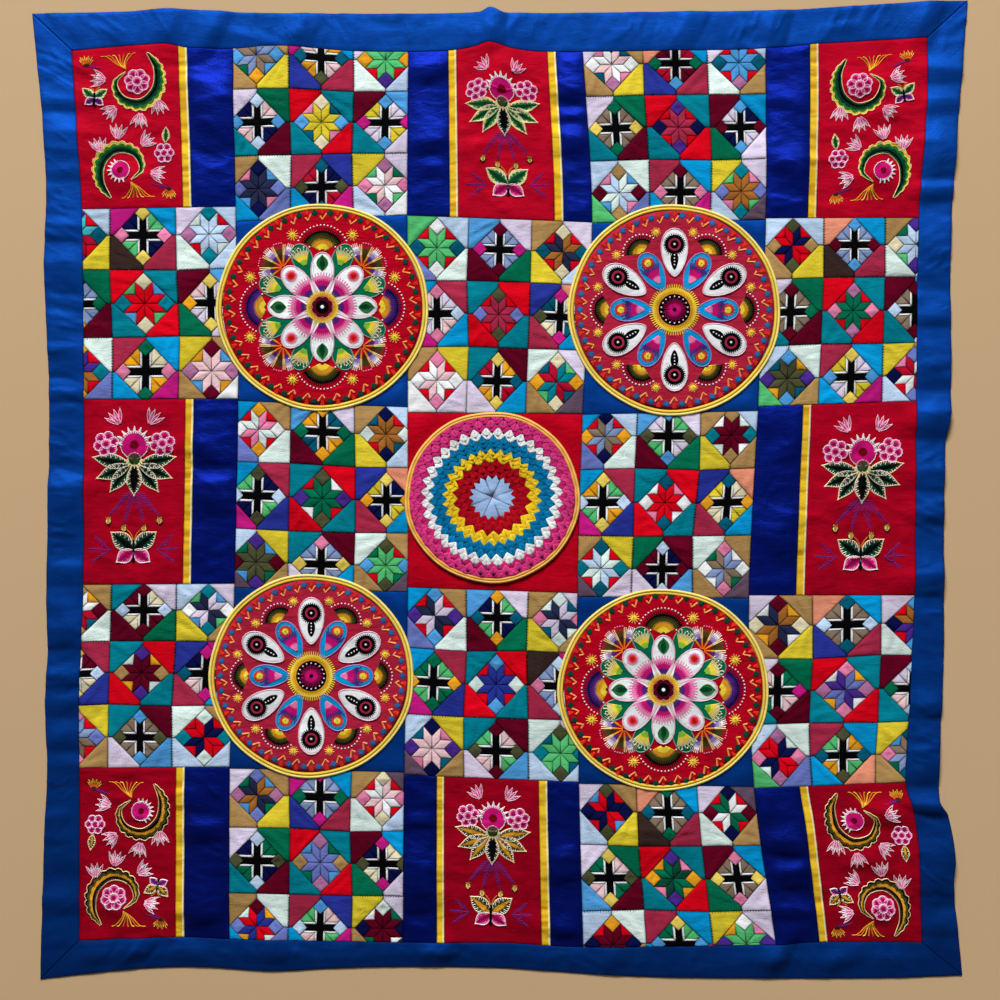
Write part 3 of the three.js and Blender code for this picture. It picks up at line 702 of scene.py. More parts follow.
def butterfly(size, upper, lower):
    """Four satin-stitch wings about a dark body, with two feelers."""
    made = []
    for side in (1, -1):
        made += moved(leaf(size, size * 0.6, upper, "cream", "white"), 0j, 90 - side * 52)
        made += moved(leaf(size * 0.72, size * 0.5, lower, "white", "pink"), 0j, 90 - side * 126, 0.2)
        bend = (0.3j * size, complex(side * 0.12, 0.6) * size, complex(side * 0.32, 0.78) * size)
        made += outline(smooth_line(bend, 5), 1.3, "gold")
    for k in (-1.6, 0, 1.6):
        made.append((complex(k, -size * 0.42), complex(k * 0.6, size * 0.36), 2.6, "black", 0.6))
    return made


def corner_spray(even, frilled):
    """A corner panel's design: two curling leaves with tassels, turned to each other about a flower
    head and a peony, with a butterfly, a small flower, ferns and plumes in the gaps."""
    curl = (-46 - 140j, -64 - 106j, -60 - 66j, -30 - 42j, 6 - 52j, 18 - 84j, -4 - 106j)
    half = scroll(curl, 13, even, frilled, "cream")
    for place, turn in ((-60 - 50j, 98), (-26 - 26j, 78), (18 - 40j, 36), (32 - 92j, -14)):
        half += moved(tassel(34, ("magenta", "pink", "white"), "pale_pink"), place, turn)
    half += moved(fern(38, "violet"), 40 - 116j, -16)
    half += moved(fan(0, 76, 3, 25, 9, ("brown", "orange", "yellow"), 1.6), 72 - 120j, -96)
    for k in range(-3, 4):
        plume = (-4 - 110j, complex(4 + 3 * k, -122), complex(6 + 8 * k, -138), complex(8 + 11 * k, -140))
        half += outline(smooth_line(plume, 4), 1.9, ("gold", "yellow", "orange")[k % 3])
    made = moved(half, 0j, 0, 0.2) + moved(half, 4j, 180, 0.2)
    made += moved(thistle(19, ("crimson", "magenta", "magenta"), "white"), -24 - 84j, 200, 0.6)
    made += moved(peony(24, 7), 24 + 88j, 12, 0.6)
    made += moved(butterfly(29, frilled, ("violet", "magenta")), -62 + 63j, -8, 0.4)
    made += moved(peony(19, 6), 66 - 56j, 0, 0.4)
    made += moved(leaf(30, 14, frilled, "cream", "white"), 70 - 36j, 84)
    return made


def side_spray(even, frilled):
    """A middle panel's design: a flower head over pointed leaves and hanging buds, a butterfly below."""
    made = []
    for side in (1, -1):
        for turn, length in ((168, 66), (202, 62), (234, 58)):
            heading = turn if side == -1 else 180 - turn
            made += moved(leaf(length, 25, frilled, "cream", "white"), complex(side * 8, 48), heading)
        made += moved(peony(22, 6), complex(side * 50, 86), 15, 0.4)
        made += moved(tassel(32, ("magenta", "pink"), "pale_pink"), complex(side * 24, 118), 90 - side * 34)
        for turn in (-34, 4, 42):
            made += moved(fern(38, "violet"), complex(side * 42, -104), 90 - side * (90 - turn))
        for end in (complex(side * 18, -58), complex(side * 46, -44)):
            heading = math.degrees(cmath.phase(end - 6j))
            made += moved(fern(abs(end - 6j) - 4, "violet"), 6j, heading)
            made += moved(leaf(15, 11, ("gold", "cream"), "brown"), end, -90, 0.3)
    made += moved(leaf(56, 27, even, "cream", "white"), 50j, -90, 0.3)
    made += moved(thistle(25, ("crimson", "magenta", "magenta"), "white"), 84j, 90, 0.6)
    made += moved(thistle(12, ("olive", "dark_green"), "cream"), 58j, 270, 0.8)
    made += moved(butterfly(50, frilled, ("rose", "magenta", "pink")), -104j, 0, 0.5)
    return made


def fitted(stitches, row, column, middle):
    """A design drawn about a panel's middle, laid along the panel's own slant."""
    x, y = block_point(row, column, np.array([0, 1, middle, middle]), np.array([0.5, 0.5, 0, 1]))
    ends = np.array([each[:2] for each in stitches])
    across, down = middle + ends.real / (x[1] - x[0]), 0.5 - ends.imag / (y[2] - y[3])
    x, y = block_point(row, column, across, down)
    return [(*pair, *each[2:]) for pair, each in zip((x + 1j * y).tolist(), stitches)]


def solid_shape(name, points, faces):
    """A pattern for the stitch tree to repeat; it is deleted once the sewing is done."""
    mesh = bpy.data.meshes.new(name)
    mesh.from_pydata(points, [], faces)
    return add_object(name, mesh)


def new_tree(name, inputs, output):
    """A geometry tree, the outputs of its input node, and the identifier of each named input."""
    tree = bpy.data.node_groups.new(name, "GeometryNodeTree")
    keys = {}
    for label, kind in inputs:
        socket = tree.interface.new_socket(label, in_out="INPUT", socket_type="NodeSocket" + kind)
        keys[label] = socket.identifier
    tree.interface.new_socket(output, in_out="OUTPUT", socket_type="NodeSocketGeometry")
    return tree, add_node(tree, "NodeGroupInput").outputs, keys


def end_tree(tree, instances, material):
    """Makes a tree's instances real, gives them their material and sends them out."""
    real = add_node(tree, "GeometryNodeRealizeInstances", {"Geometry": instances})
    finish = add_node(tree, "GeometryNodeSetMaterial", {
        "Geometry": real.outputs["Geometry"], "Material": material})
    add_node(tree, "NodeGroupOutput", {0: finish.outputs["Geometry"]})


def sewing_tree():
    """Repeats a stitch at the points of a chart, turned and stretched by the chart's own values."""
    inputs = (("Chart", "Geometry"), ("Stitch", "Object"), ("Thread", "Material"))
    tree, given, keys = new_tree("laid stitches", inputs, "Sewn")
    values = []
    for label in STITCH_VALUES:
        named = add_node(tree, "GeometryNodeInputNamedAttribute", {"Name": label}, data_type="FLOAT")
        values.append(named.outputs["Attribute"])
    heading, pitch, span, girth = values
    pattern = add_node(tree, "GeometryNodeObjectInfo", {"Object": given["Stitch"]})
    turn = add_node(tree, "ShaderNodeCombineXYZ", {"Y": pitch, "Z": heading})
    size = add_node(tree, "ShaderNodeCombineXYZ", {"X": span, "Y": girth, "Z": girth})
    placed = add_node(tree, "GeometryNodeInstanceOnPoints", {
        "Points": given["Chart"], "Instance": pattern.outputs["Geometry"],
        "Rotation": turn.outputs["Vector"], "Scale": size.outputs["Vector"]})
    end_tree(tree, placed.outputs["Instances"], given["Thread"])
    return tree, keys


def bake(piece, tree, keys, values):
    """Turns what a node tree makes with these values into the piece's own plain mesh."""
    modifier = piece.modifiers.new(tree.name, "NODES")
    modifier.node_group = tree
    for label, value in values.items():
        modifier[keys[label]] = value
    shown = piece.evaluated_get(bpy.context.evaluated_depsgraph_get())
    mesh = bpy.data.meshes.new_from_object(shown)
    piece.modifiers.remove(modifier)
    piece.data = mesh


def sew(name, stitches, height, shape):
    """Sews stitches on a surface of the given height, each over it by its own lift."""
    start = np.array([each[0] for each in stitches])
    end = np.array([each[1] for each in stitches])
    girth = np.array([each[2] for each in stitches], float)
    lift = np.array([each[4] for each in stitches], float)
    low, high = height(start.real, start.imag), height(end.real, end.imag)
    middle = (start + end) / 2
    crown = np.maximum((low + high) / 2, height(middle.real, middle.imag)) + lift
    chart = bpy.data.meshes.new(name)
    chart.from_pydata((np.stack([middle.real, middle.imag, crown], -1) * MM).tolist(), [], [])
    span = np.abs(end - start)
    turns = (np.angle(end - start), -np.arctan2(high - low, span))
    for label, values in zip(STITCH_VALUES, (*turns, span * MM, girth * MM)):
        chart.attributes.new(label, "FLOAT", "POINT").data.foreach_set("value", values.astype(np.float32))
    dyes = np.array([linear(THREADS[each[3]]) for each in stitches], np.float32)
    chart.attributes.new("dye_and_painted_light", "FLOAT_COLOR", "POINT").data.foreach_set("color", dyes.ravel())
    piece = add_object(name, chart)
    bake(piece, stitch_tree, stitch_keys, {"Stitch": shape, "Thread": embroidery_thread})
    for label in STITCH_VALUES:
        if label in piece.data.attributes:
            piece.data.attributes.remove(piece.data.attributes[label])
    return piece


def panel_creases(x, y):
    """The rise of the fine creases in the panels."""
    return PANEL_CREASE * crinkles(x, y, 15, 61)


def panel_top(x, y):
    """The height of a panel's upper side."""
    return lie(x, y) + CLOTH + panel_creases(x, y)


stitch_tree, stitch_keys = sewing_tree()
embroidery_thread = woven("embroidery thread", rough=0.5, lustre=0.15, thread=0.4, crumple=0.05, tone_shift=0.08)
bar_points = [(x, y, z) for x in (-0.5, 0.5) for y, z in ((-0.5, 0), (0, 0.5), (0.5, 0))]
bar_faces = [(0, 1, 2), (5, 4, 3), (0, 3, 4, 1), (1, 4, 5, 2), (2, 5, 3, 0)]
bar_stitch = solid_shape("bar stitch", bar_points, bar_faces)
red_cotton = woven("red cotton", rough=0.6, lustre=0.12, thread=0.6, crumple=0.4, tone_shift=0.22)
for node, row, column, left, right in bands_of("red"):
    x, y, drop, held = band_grid(row, column, left, right, PANEL_STEP)
    # Red dye with painted light towards the head and painted shade in the seams.
    dyes = dye_with_painted_light(PANEL_RED, y, drop)
    piece = lay_sheet("cloth_" + node, x, y, CLOTH - drop, red_cotton, dyes, held * panel_creases(x, y))
    design = side_spray(*LEAF_THREADS[row]) if 3 in (row, column) else corner_spray(*LEAF_THREADS[row])
    turn, size = {1: (2, 0.96), 3: (0, 1.06), 5: (178, 0.96)}[row]
    if column == 3:
        turn, size = 3 - row, 0.96
    design = fitted(moved(design, 0j, turn, 0, size, column == 5), row, column, (left + right) / 2)
    threads = sew("threads_" + node, design, panel_top, bar_stitch)
    register(threads, node)
    put_down(piece, node)

# Star blocks: three by three tiles of cotton scraps, pieced into eight-pointed stars and crosses set
# on point. Each patch is turned under at its edges, so the seams show as fine grooves.
PATCH_DYES = {
    "red": "#DC061C", "crimson": "#B81030", "burgundy": "#600420", "rose": "#AA2C4A", "pink": "#EA84AC",
    "pale_pink": "#F4CCD0", "magenta": "#C81C84", "mauve": "#B0709C", "peach": "#F2997A",
    "tan": "#B28C56", "taupe": "#8C7866", "brown": "#382824", "yellow": "#E2CC34", "lemon": "#EBD060",
    "mustard": "#EDA424", "cream": "#EDE2BC", "mint": "#E0F2EC", "lilac": "#E0D4EC", "ice": "#C2DAF6",
    "sky": "#52A0E0", "cyan": "#089ADA", "teal": "#048094", "deep_teal": "#065C78", "green": "#046C4C",
    "light_green": "#58C276", "dark_green": "#0E4634", "olive": "#4E5034", "slate": "#262C4C",
    "blue_violet": "#283494", "violet": "#4C2C90", "periwinkle": "#6E7CC4", "grey_blue": "#869AC8",
    "black": "#070709", "white": "#F8FAFC", "plum": "#665064", "navy": "#0C1248",
    "aqua": "#42B8C2", "copper": "#A4672C", "steel": "#246CAA",
}
TILES = 3
STAR_REACH = math.sqrt(0.5) / math.cos(math.radians(22.5))
VALLEY_REACH = math.sqrt(2) - 1
SMALLEST_PATCH = 0.0012
LARGE_PATCH = 900
LARGE_PATCH_STEP = 9
PATCH_STEP = 14
TICK_REACH = 2.4
UNDER_SHADE = 0.25
LARGE_INNER = 9

# How much of a tile's width the seams take off each block: left, right, top and bottom.
TRIMS = {
    (1, 2): (0.14, 0.15, 0.37, 0.02), (1, 4): (0.05, 0.08, 0.29, 0.05), (2, 1): (0.57, 0.09, 0.11, 0.10),
    (2, 3): (0.02, 0.04, 0.02, 0.02), (2, 5): (0.06, 0.46, 0.08, 0.10), (3, 2): (0.17, 0.15, 0.08, 0.10),
    (3, 4): (0.13, 0.09, 0.15, 0.06), (4, 1): (0.56, 0.10, 0.08, 0.03), (4, 3): (0.07, 0.22, 0.09, 0.08),
    (4, 5): (0.08, 0.52, 0.05, 0.05), (5, 2): (0.07, 0.17, 0.10, 0.29), (5, 4): (0.05, 0.06, 0.10, 0.47),
}
# The cloths a block repeats at the corners of its tiles: upper left, upper right, lower left, lower right.
CORNER_CLOTHS = {
    (0, 0): (("ice", "lilac"), ("ice", "tan"), ("ice", "tan"), ("yellow",)),
    (0, 1): (("peach", "magenta"), ("cyan",), ("brown", "blue_violet"), ("rose",)),
    (0, 2): (("lilac", "tan"), ("ice", "plum"), ("mint",), ("tan", "ice")),
    (1, 0): (("lilac",), ("green",), ("teal", "sky"), ("burgundy",)),
    (1, 1): (("red",), ("teal",), ("teal",), ("red",)),
    (1, 2): (("burgundy",), ("cyan", "sky"), ("teal", "green"), ("lilac",)),
    (2, 0): (("ice", "tan"), ("mint",), ("light_green", "cyan"), ("tan", "periwinkle")),
    (2, 1): (("rose",), ("blue_violet", "cyan"), ("cyan",), ("magenta", "peach")),
    (2, 2): (("yellow",), ("tan", "lilac"), ("ice", "tan"), ("slate", "plum", "white")),
}
# Blocks that were sewn in with a quarter turn.
TURNED_BLOCKS = {(2, 3), (3, 2), (3, 4), (4, 1), (4, 3)}
# The cloths of each block's centre star, and those of the other stars: one, or two by turns.
CENTRE_STARS = {
    (1, 2): ("yellow",), (1, 4): ("rose",), (2, 1): ("red",), (2, 3): ("rose",), (2, 5): ("green",),
    (3, 2): ("green",), (3, 4): ("red",), (4, 1): ("burgundy",), (4, 3): ("blue_violet",),
    (4, 5): ("periwinkle", "violet"), (5, 2): ("periwinkle",), (5, 4): ("dark_green", "green"),
}
STAR_CLOTHS = [
    ("slate",), ("mint", "ice"), ("pale_pink", "white"), ("sky",), ("burgundy",), ("light_green",),
    ("copper",), ("mustard", "black"), ("blue_violet", "red"), ("teal", "crimson"), ("white", "crimson"),
    ("ice",), ("grey_blue", "taupe"), ("aqua", "crimson"), ("pink", "mint"), ("copper", "slate"), ("olive",),
    ("pale_pink",), ("lilac", "slate"), ("white", "green"), ("navy", "red"), ("violet", "copper"),
]
SQUARE_CLOTHS = ["pink", "mauve", "mint", "mustard", "navy", "tan", "sky", "olive", "teal", "periwinkle",
                 "cream", "burgundy", "white", "deep_teal", "navy", "violet"]
SIDE_CLOTHS = ["red", "white", "mint", "green", "mustard", "deep_teal", "light_green", "sky", "pink"]
QUARTER_CLOTHS = ["cream", "pale_pink", "crimson", "green", "deep_teal", "yellow", "lilac", "navy",
                  "light_green", "burgundy", "mustard"]
CAP_CLOTHS = ["mustard", "lemon", "green", "deep_teal", "olive", "pink", "magenta", "burgundy", "sky", "ice"]


def star_tile(reach, cloths):
    """Patches of a star tile: eight diamonds, four squares and four triangles in a square on point."""
    tip = [reach * STAR_REACH * spin(22.5 + 45 * k) for k in range(8)]
    valley = [reach * VALLEY_REACH * spin(45 * k) for k in range(8)]
    star = cloths["star"]
    patches = []
    for k in range(8):
        patches.append(([0j, valley[k], tip[k], valley[(k + 1) % 8]], star[k // 2 % len(star)]))
    for k in range(4):
        square = [valley[2 * k], tip[2 * k], reach * spin(90 * k), tip[2 * k - 1]]
        patches.append((square, cloths["squares"][k % 2]))
        triangle = [valley[2 * k + 1], tip[2 * k], tip[2 * k + 1]]
        patches.append((triangle, cloths["sides"][k % 2]))
    return patches


def cross_tile(reach, cloths):
    """Patches of a cross tile: a black cross edged in white, four squares and four folded quarters."""
    bar, edge, inner, side, deep = (reach * share for share in (0.117, 0.192, 0.46, 0.27, 0.73))
    notch = bar + inner
    far = edge + inner
    upright = [complex(-bar, -notch), complex(bar, -notch), complex(bar, notch), complex(-bar, notch)]
    arm = [complex(bar, -bar), complex(notch, -bar), complex(notch, bar), complex(bar, bar)]
    strip = [complex(bar, bar), complex(notch, bar), complex(far, edge), complex(edge, edge)]
    half = [complex(edge, edge), complex(far, edge), complex(deep, side), complex(reach / 2, reach / 2)]
    cap = [complex(inner, 0), complex(deep, -side), complex(reach, 0), complex(deep, side)]
    patches = [(upright, "black", 0.2)]
    for k in range(4):
        turn = spin(90 * k)
        if k % 2 == 0:
            patches.append(([p * turn for p in arm], "black", 0.2))
        for shape, cloth in ((strip, "white"), (half, cloths["quarters"][k % 2])):
            patches.append(([p * turn for p in shape], cloth))
            patches.append(([complex(p.imag, p.real) * turn for p in shape[::-1]], cloth))
        patches.append(([p * turn for p in cap], cloths["caps"][k % 2], 0.6))
    return patches


def corner_patches(reach, cloths):
    """The four large corner pieces round the square on point."""
    shape = [1j * reach, complex(reach, 0), 1 + 0j, 1 + 1j, 1j]
    upper_left = [complex(-p.real, p.imag) for p in shape]
    lower_left = [-p for p in shape]
    lower_right = [complex(p.real, -p.imag) for p in shape]
    return list(zip((upper_left, shape, lower_left, lower_right), cloths))


def clipped(polygon, low, high):
    """The part of a polygon inside an upright box, corners given as complex places."""
    for axis, bound, keep in (("real", low.real, 1), ("real", high.real, -1),
                              ("imag", low.imag, 1), ("imag", high.imag, -1)):
        kept = []
        for p, q in zip(polygon, polygon[1:] + polygon[:1]):
            from_p, from_q = (keep * (getattr(each, axis) - bound) for each in (p, q))
            if from_p >= 0:
                kept.append(p)
            if from_p * from_q < 0:
                kept.append(p + (q - p) * (from_p / (from_p - from_q)))
        polygon = kept
    return polygon


def signed_area(polygon):
    """Area of a polygon, positive where its corners run counter-clockwise."""
    return 0.5 * sum((p.conjugate() * q).imag for p, q in zip(polygon, polygon[1:] + polygon[:1]))


def pillow(border, thick, draw, puff, base):
    """A patch turned under at its edges and puffed in ripples, closed below: plan places, rises,
    painted shades and faces. The turned-under edge is painted dark, as shade in the seam."""
    border = np.array(border)
    middle = border.mean()
    side = np.roll(border, -1) - border
    inner = np.abs(np.imag((border - middle).conjugate() * side)) / np.maximum(np.abs(side), 1e-6)
    inner = inner.min()
    large = bool(inner > LARGE_INNER)
    # The outer two rings carry painted shade where the edge turns under.
    rings = [(1, thick - SEAM_DEPTH, UNDER_SHADE), (1 - min(0.9 / inner, 0.25), thick - 0.2, 0.75)]
    if inner > 3:
        rings.append((1 - min(2.4 / inner, 0.45), thick, 1.0))
    if large:
        rings += [(0.66, thick, 1.0), (0.42, thick, 1.0), (0.2, thick, 1.0)]
    pull, phase = spin(draw.uniform(0, 180)), draw.uniform(0, 6)
    pitch, swell = draw.uniform(17, 27), puff * draw.uniform(0.3, 1.0) * min(inner / 12, 1)
    sizes = [size for size, _, _ in rings] + [0, 1] + [0.5] * large + [0]
    rises = [base + rise for _, rise, _ in rings] + [base + thick] + [0] * (2 + large)
    tones = [shade for _, _, shade in rings] + [1.0] + [UNDER_SHADE] * (2 + large)
    places, heights, shades, starts = [], [], [], []
    for k, (size, rise, tone) in enumerate(zip(sizes, rises, tones)):
        ring = middle + (border - middle) * size if size else np.array([middle])
        if k <= len(rings):
            wave = 1 + np.sin((ring * pull).real * (2 * math.pi / pitch) + phase)
            rise = rise + wave * (1 - size ** 4) * swell
        starts.append(sum(map(len, places)))
        places.append(ring)
        heights.append(np.zeros(len(ring)) + rise)
        shades.append(np.full(len(ring), tone))
    upper, lower = starts[:len(rings)], starts[len(rings) + 1:-1]
    faces = []
    for i in range(len(border)):
        j = (i + 1) % len(border)
        for a, b in [*zip(upper, upper[1:]), *zip(lower[1:], lower), (lower[0], 0)]:
            faces.append((a + i, a + j, b + j, b + i))
        faces.append((upper[-1] + i, upper[-1] + j, starts[len(rings)]))
        faces.append((lower[-1] + j, lower[-1] + i, starts[-1]))
    return np.concatenate(places), np.concatenate(heights), np.concatenate(shades), faces


def stepped(corners, step):
    """A polygon's corners with more points along its long sides."""
    border = []
    for p, q in zip(corners, corners[1:] + corners[:1]):
        count = max(1, round(abs(q - p) / step))
        border += [p + (q - p) * i / count for i in range(count)]
    return border


def tile_cloths(draw, star):
    """A scrap-bag choice of cloths for the small patches of a tile; opposite pieces match."""
    sides = ["red", "red"] if draw.random() < 0.4 else draw.sample(SIDE_CLOTHS, 2)
    plain = draw.choice(("grey_blue", "taupe"))
    quarters = [plain, plain] if draw.random() < 0.3 else draw.sample(QUARTER_CLOTHS, 2)
    return {"star": star, "squares": draw.sample(SQUARE_CLOTHS, 2), "sides": sides, "quarters": quarters,
            "caps": draw.sample(CAP_CLOTHS, 2)}


def corner_chart(block, i, j):
    """The corner cloths of a tile, as the block was sewn in."""
    if block not in TURNED_BLOCKS:
        return CORNER_CLOTHS[i, j]
    upper_left, upper_right, lower_left, lower_right = CORNER_CLOTHS[TILES - 1 - j, i]
    return lower_left, upper_left, lower_right, upper_right


def block_patches(block, draw):
    """Every patch of a star block, as plan corners, a cloth name and perhaps a rise, and its seams."""
    left, right, top, bottom = TRIMS[block]
    low, high = complex(left, top), complex(TILES - right, TILES - bottom)
    window = high - low
    shift = {(i, j): complex(draw.uniform(-0.03, 0.03), draw.uniform(-0.03, 0.03))
             for i in range(1, TILES) for j in range(1, TILES)}

    def warped(place):
        row, column = min(int(place.imag), TILES - 1), min(int(place.real), TILES - 1)
        u, v = place.real - column, place.imag - row
        for i, j, weight in ((row, column, (1 - u) * (1 - v)), (row, column + 1, u * (1 - v)),
                             (row + 1, column, (1 - u) * v), (row + 1, column + 1, u * v)):
            place += weight * shift.get((i, j), 0)
        return place

    def planned(place):
        share = place - low
        x, y = block_point(*block, share.real / window.real, share.imag / window.imag)
        return complex(float(x), float(y))

    found, seams = [], []
    for i, j in CORNER_CLOTHS:
        reach = draw.uniform(0.84, 0.93)
        star = CENTRE_STARS[block] if i == j == 1 else draw.choice(STAR_CLOTHS)
        cloths = tile_cloths(draw, star)
        patches = corner_patches(reach, [draw.choice(each) for each in corner_chart(block, i, j)])
        patches += star_tile(reach, cloths) if (i + j) % 2 == 0 else cross_tile(reach, cloths)
        middle = complex(j + 0.5, i + 0.5)
        for corners, cloth, *base in patches:
            kept = clipped([warped(middle + p.conjugate() / 2) for p in corners], low, high)
            if len(kept) < 3 or abs(signed_area(kept)) < SMALLEST_PATCH:
                continue
            plan = [planned(p) for p in kept]
            if signed_area(plan) < 0:
                plan.reverse()
            found.append((plan, cloth, *base))
        for corner in (complex(j + 1, i), complex(j, i + 1)):
            line = [warped(mix(corner, complex(j + 1, i + 1), k / 24)) for k in range(1, 24)]
            line = [p for p in line if low.real < p.real < high.real and low.imag < p.imag < high.imag]
            if max(corner.real, corner.imag) < TILES:
                seams.append([planned(p) for p in line])
    return found, seams


def patch_piece(name, patches, height, material, seed, thick=CLOTH, puff=1.0):
    """One mesh of many patches, each its corners, a cloth and perhaps a rise."""
    draw = random.Random(seed)
    places, rises, faces, colours = [], [], [], []
    total = 0
    for corners, cloth, *base in patches:
        border = stepped(corners, LARGE_PATCH_STEP if signed_area(corners) > LARGE_PATCH else PATCH_STEP)
        points, heights, shades, patch_faces = pillow(border, thick, draw, puff, sum(base))
        tint = np.ones((len(points), 4)) * linear(PATCH_DYES[cloth])
        # Painted shade at the turned edges, times a random tone for each patch.
        tint[:, :3] *= (shades * draw.uniform(0.84, 1.08))[:, None]
        places.append(points)
        rises.append(heights)
        colours.append(tint)
        faces += [tuple(index + total for index in face) for face in patch_faces]
        total += len(points)
    places, rises = np.concatenate(places), np.concatenate(rises)
    points = np.stack([places.real, places.imag, height(places.real, places.imag) + rises], -1)
    return make_piece(name, points, faces, material, np.concatenate(colours))


def cloth_top(x, y):
    """The height of a plain sheet's upper side."""
    return lie(x, y) + CLOTH


def overcast(seams, draw):
    """Small dark stitches across some of a block's seams."""
    made = []
    for line in seams:
        if draw.random() < 0.4:
            for p, q in zip(line, line[1:]):
                across = TICK_REACH * 1j * (q - p) / abs(q - p) * spin(draw.uniform(-14, 14))
                made.append((p - across, p + across, 0.9, draw.choice(("black", "dark_green")), 0))
    return made


patch_cotton = woven("patch cotton", rough=0.75, lustre=0.05, thread=0.7, crumple=0.45, tone_shift=0.2)
for block in TRIMS:
    node = "star_block_r{}c{}".format(*block)
    draw = random.Random(100 + 10 * block[0] + block[1])
    patches, seams = block_patches(block, draw)
    piece = patch_piece("cloth_" + node, patches, lie, patch_cotton, 7 + block[0] * block[1])
    ticks = sew("ticks_" + node, overcast(seams, draw), cloth_top, bar_stitch)
    register(ticks, node)
    x, y = block_point(*block, np.linspace(0, 1, 9)[None, :], np.linspace(0, 1, 9)[:, None])
    put_down(piece, node)

# Ground squares: four of the border's blue behind the medallions and a red one behind the folded
# star. Only their corners show, because the round pieces are sewn over them.
GROUND_STEP = 8
GROUND_SLACK = 0.6
GROUND_SWELL = 2.6
GROUND_RED = "#BA041E"
ground_red = woven("ground red cotton", rough=0.6, lustre=0.12, thread=0.6, crumple=0.45, tone_shift=0.22)
for block in ROUNDS:
    row, column = int(block[1]), int(block[3])
    x, y, drop, held = band_grid(row, column, 0, 1, GROUND_STEP)
    lift = GROUND_SLACK * held * rucks(x, y, 0, 50 + row, GROUND_SWELL) * beyond_rounds(x, y, 0, 16)
    if block == "r3c3":
        node, slot, cloth, colour = "centre_square", "red_cotton", ground_red, GROUND_RED
    else:
        node, slot, cloth, colour = "ground_square_" + block, "royal_cotton", royal_cotton, ROYAL
    # The ground cloth's dye with painted light towards the head and painted shade in the seams.
    piece = lay_sheet("cloth_" + node, x, y, CLOTH - drop, cloth, dye_with_painted_light(colour, y, drop), lift)
    put_down(piece, node)

# Medallions: discs of red cotton, laid over with cut-out cotton shapes and dense straight stitches,
# a toothed rim of small squares and ticks, and a double yellow binding sewn round the edge.
DISC_FLOOR = 1.9
DISC_CLOTH = 1.0
DISC_CROWN = 0.6
RING_WIDTH = 12
EDGE_GAP = 0.6
DRAWN_RADIUS = 187
RIM_REPEATS = 38
RIM_RADIUS = 176.5
RIM_SQUARE = 7.2
TICK_ROOT = 163.5
TOOTH_ROOT = 184
TOOTH_TIP = 174.5
COUCHED_RISE = 0.9
# The double binding in section: inward from the edge, rise and colour. Pale yellow outer lobe and gold inner
# lobe, with painted highlight on the crowns and painted shade in the groove and at the edges.
RING_PROFILE = [
    (0, 0, "#A8842A"), (0.2, 1.3, "#E0C052"), (1.3, 2.4, "#FCE680"), (2.9, 2.8, "#FFF096"),
    (4.5, 2.4, "#F8DC66"), (5.7, 1.2, "#82621A"), (6.9, 2.3, "#EEC244"), (8.6, 2.7, "#FAD65A"),
    (10.4, 2.2, "#F0C648"), (11.8, 1.1, "#9A6E18"), (12.0, 0, "#7A5A10"),
]


def disc_height(block):
    """Height of the upper side of a round piece of cloth, with its level creases."""
    centre_x, centre_y, wide, high = ROUNDS[block]

    def at(x, y):
        away = np.minimum(np.hypot((x - centre_x) / wide, (y - centre_y) / high), 1)
        crease = 0.35 * (1 + waves(x, y + 8 * waves(x, y, 120, 80, 30, 61), 26, 0, 14, 62))
        return DISC_FLOOR + DISC_CLOTH + DISC_CROWN * (1 - away ** 2) + crease * ramp(1 - away, 0, 0.08)

    return at


def disc_piece(name, block, radius, height, material, colour):
    """A closed round sheet: rings of points about the centre, flat below."""
    centre_x, centre_y, wide, high = ROUNDS[block]
    sides, rings = 120, 26
    turn = np.exp(2j * np.pi * np.arange(sides) / sides)
    reach = radius * np.linspace(1, 0, rings + 1)[:-1]
    spots = (reach[:, None] * turn[None, :]).ravel()
    x = centre_x + np.append(spots.real, 0)
    y = centre_y + np.append(spots.imag, 0) * high / wide
    top = np.stack([x, y, height(x, y)], -1)
    low = np.stack([x[:sides], y[:sides], np.full(sides, DISC_FLOOR)], -1)
    inmost, under = (rings - 1) * sides, rings * sides + 1
    faces = [tuple(under + i for i in reversed(range(sides)))]
    for i in range(sides):
        j = (i + 1) % sides
        for a in range(0, inmost, sides):
            faces.append((a + i, a + j, a + sides + j, a + sides + i))
        faces.append((inmost + i, inmost + j, rings * sides))
        faces.append((under + i, under + j, j, i))
    points = np.concatenate([top, low])
    return make_piece(name, points, faces, material, [linear(colour)] * len(points))


def binding(name, block, profile, material, draw):
    """A ring of folded binding swept round a disc's edge, a little uneven."""
    centre_x, centre_y, wide, high = ROUNDS[block]
    sides = 180
    phases = [draw.uniform(0, 6) for _ in range(3)]
    points, faces = [], []
    for i in range(sides):
        a = 2 * math.pi * i / sides
        sway = 0.7 * math.sin(5 * a + phases[0]) + 0.5 * math.sin(9 * a + phases[1])
        full = 1 + 0.1 * math.sin(31 * a + phases[2])
        for inward, rise, _ in profile:
            reach = wide - inward + sway
            points.append((centre_x + reach * math.cos(a), centre_y + reach * math.sin(a) * high / wide,
                           DISC_FLOOR + rise * full))
    count = len(profile)
    for i in range(sides):
        here, there = i * count, (i + 1) % sides * count
        for k in range(count):
            m = (k + 1) % count
            faces.append((here + k, there + k, there + m, here + m))
    return make_piece(name, points, faces, material, [linear(colour) for _, _, colour in profile] * sides)


def petal(length, width):
    """The outline of a petal along +X, fuller towards its far end."""
    shape = []
    for k in range(24):
        a = math.pi * k / 12
        half = width / 2 * math.sin(a) * (0.45 + 0.55 * math.sin(a / 2))
        shape.append(complex(length * (1 - math.cos(a)) / 2, half))
    return shape


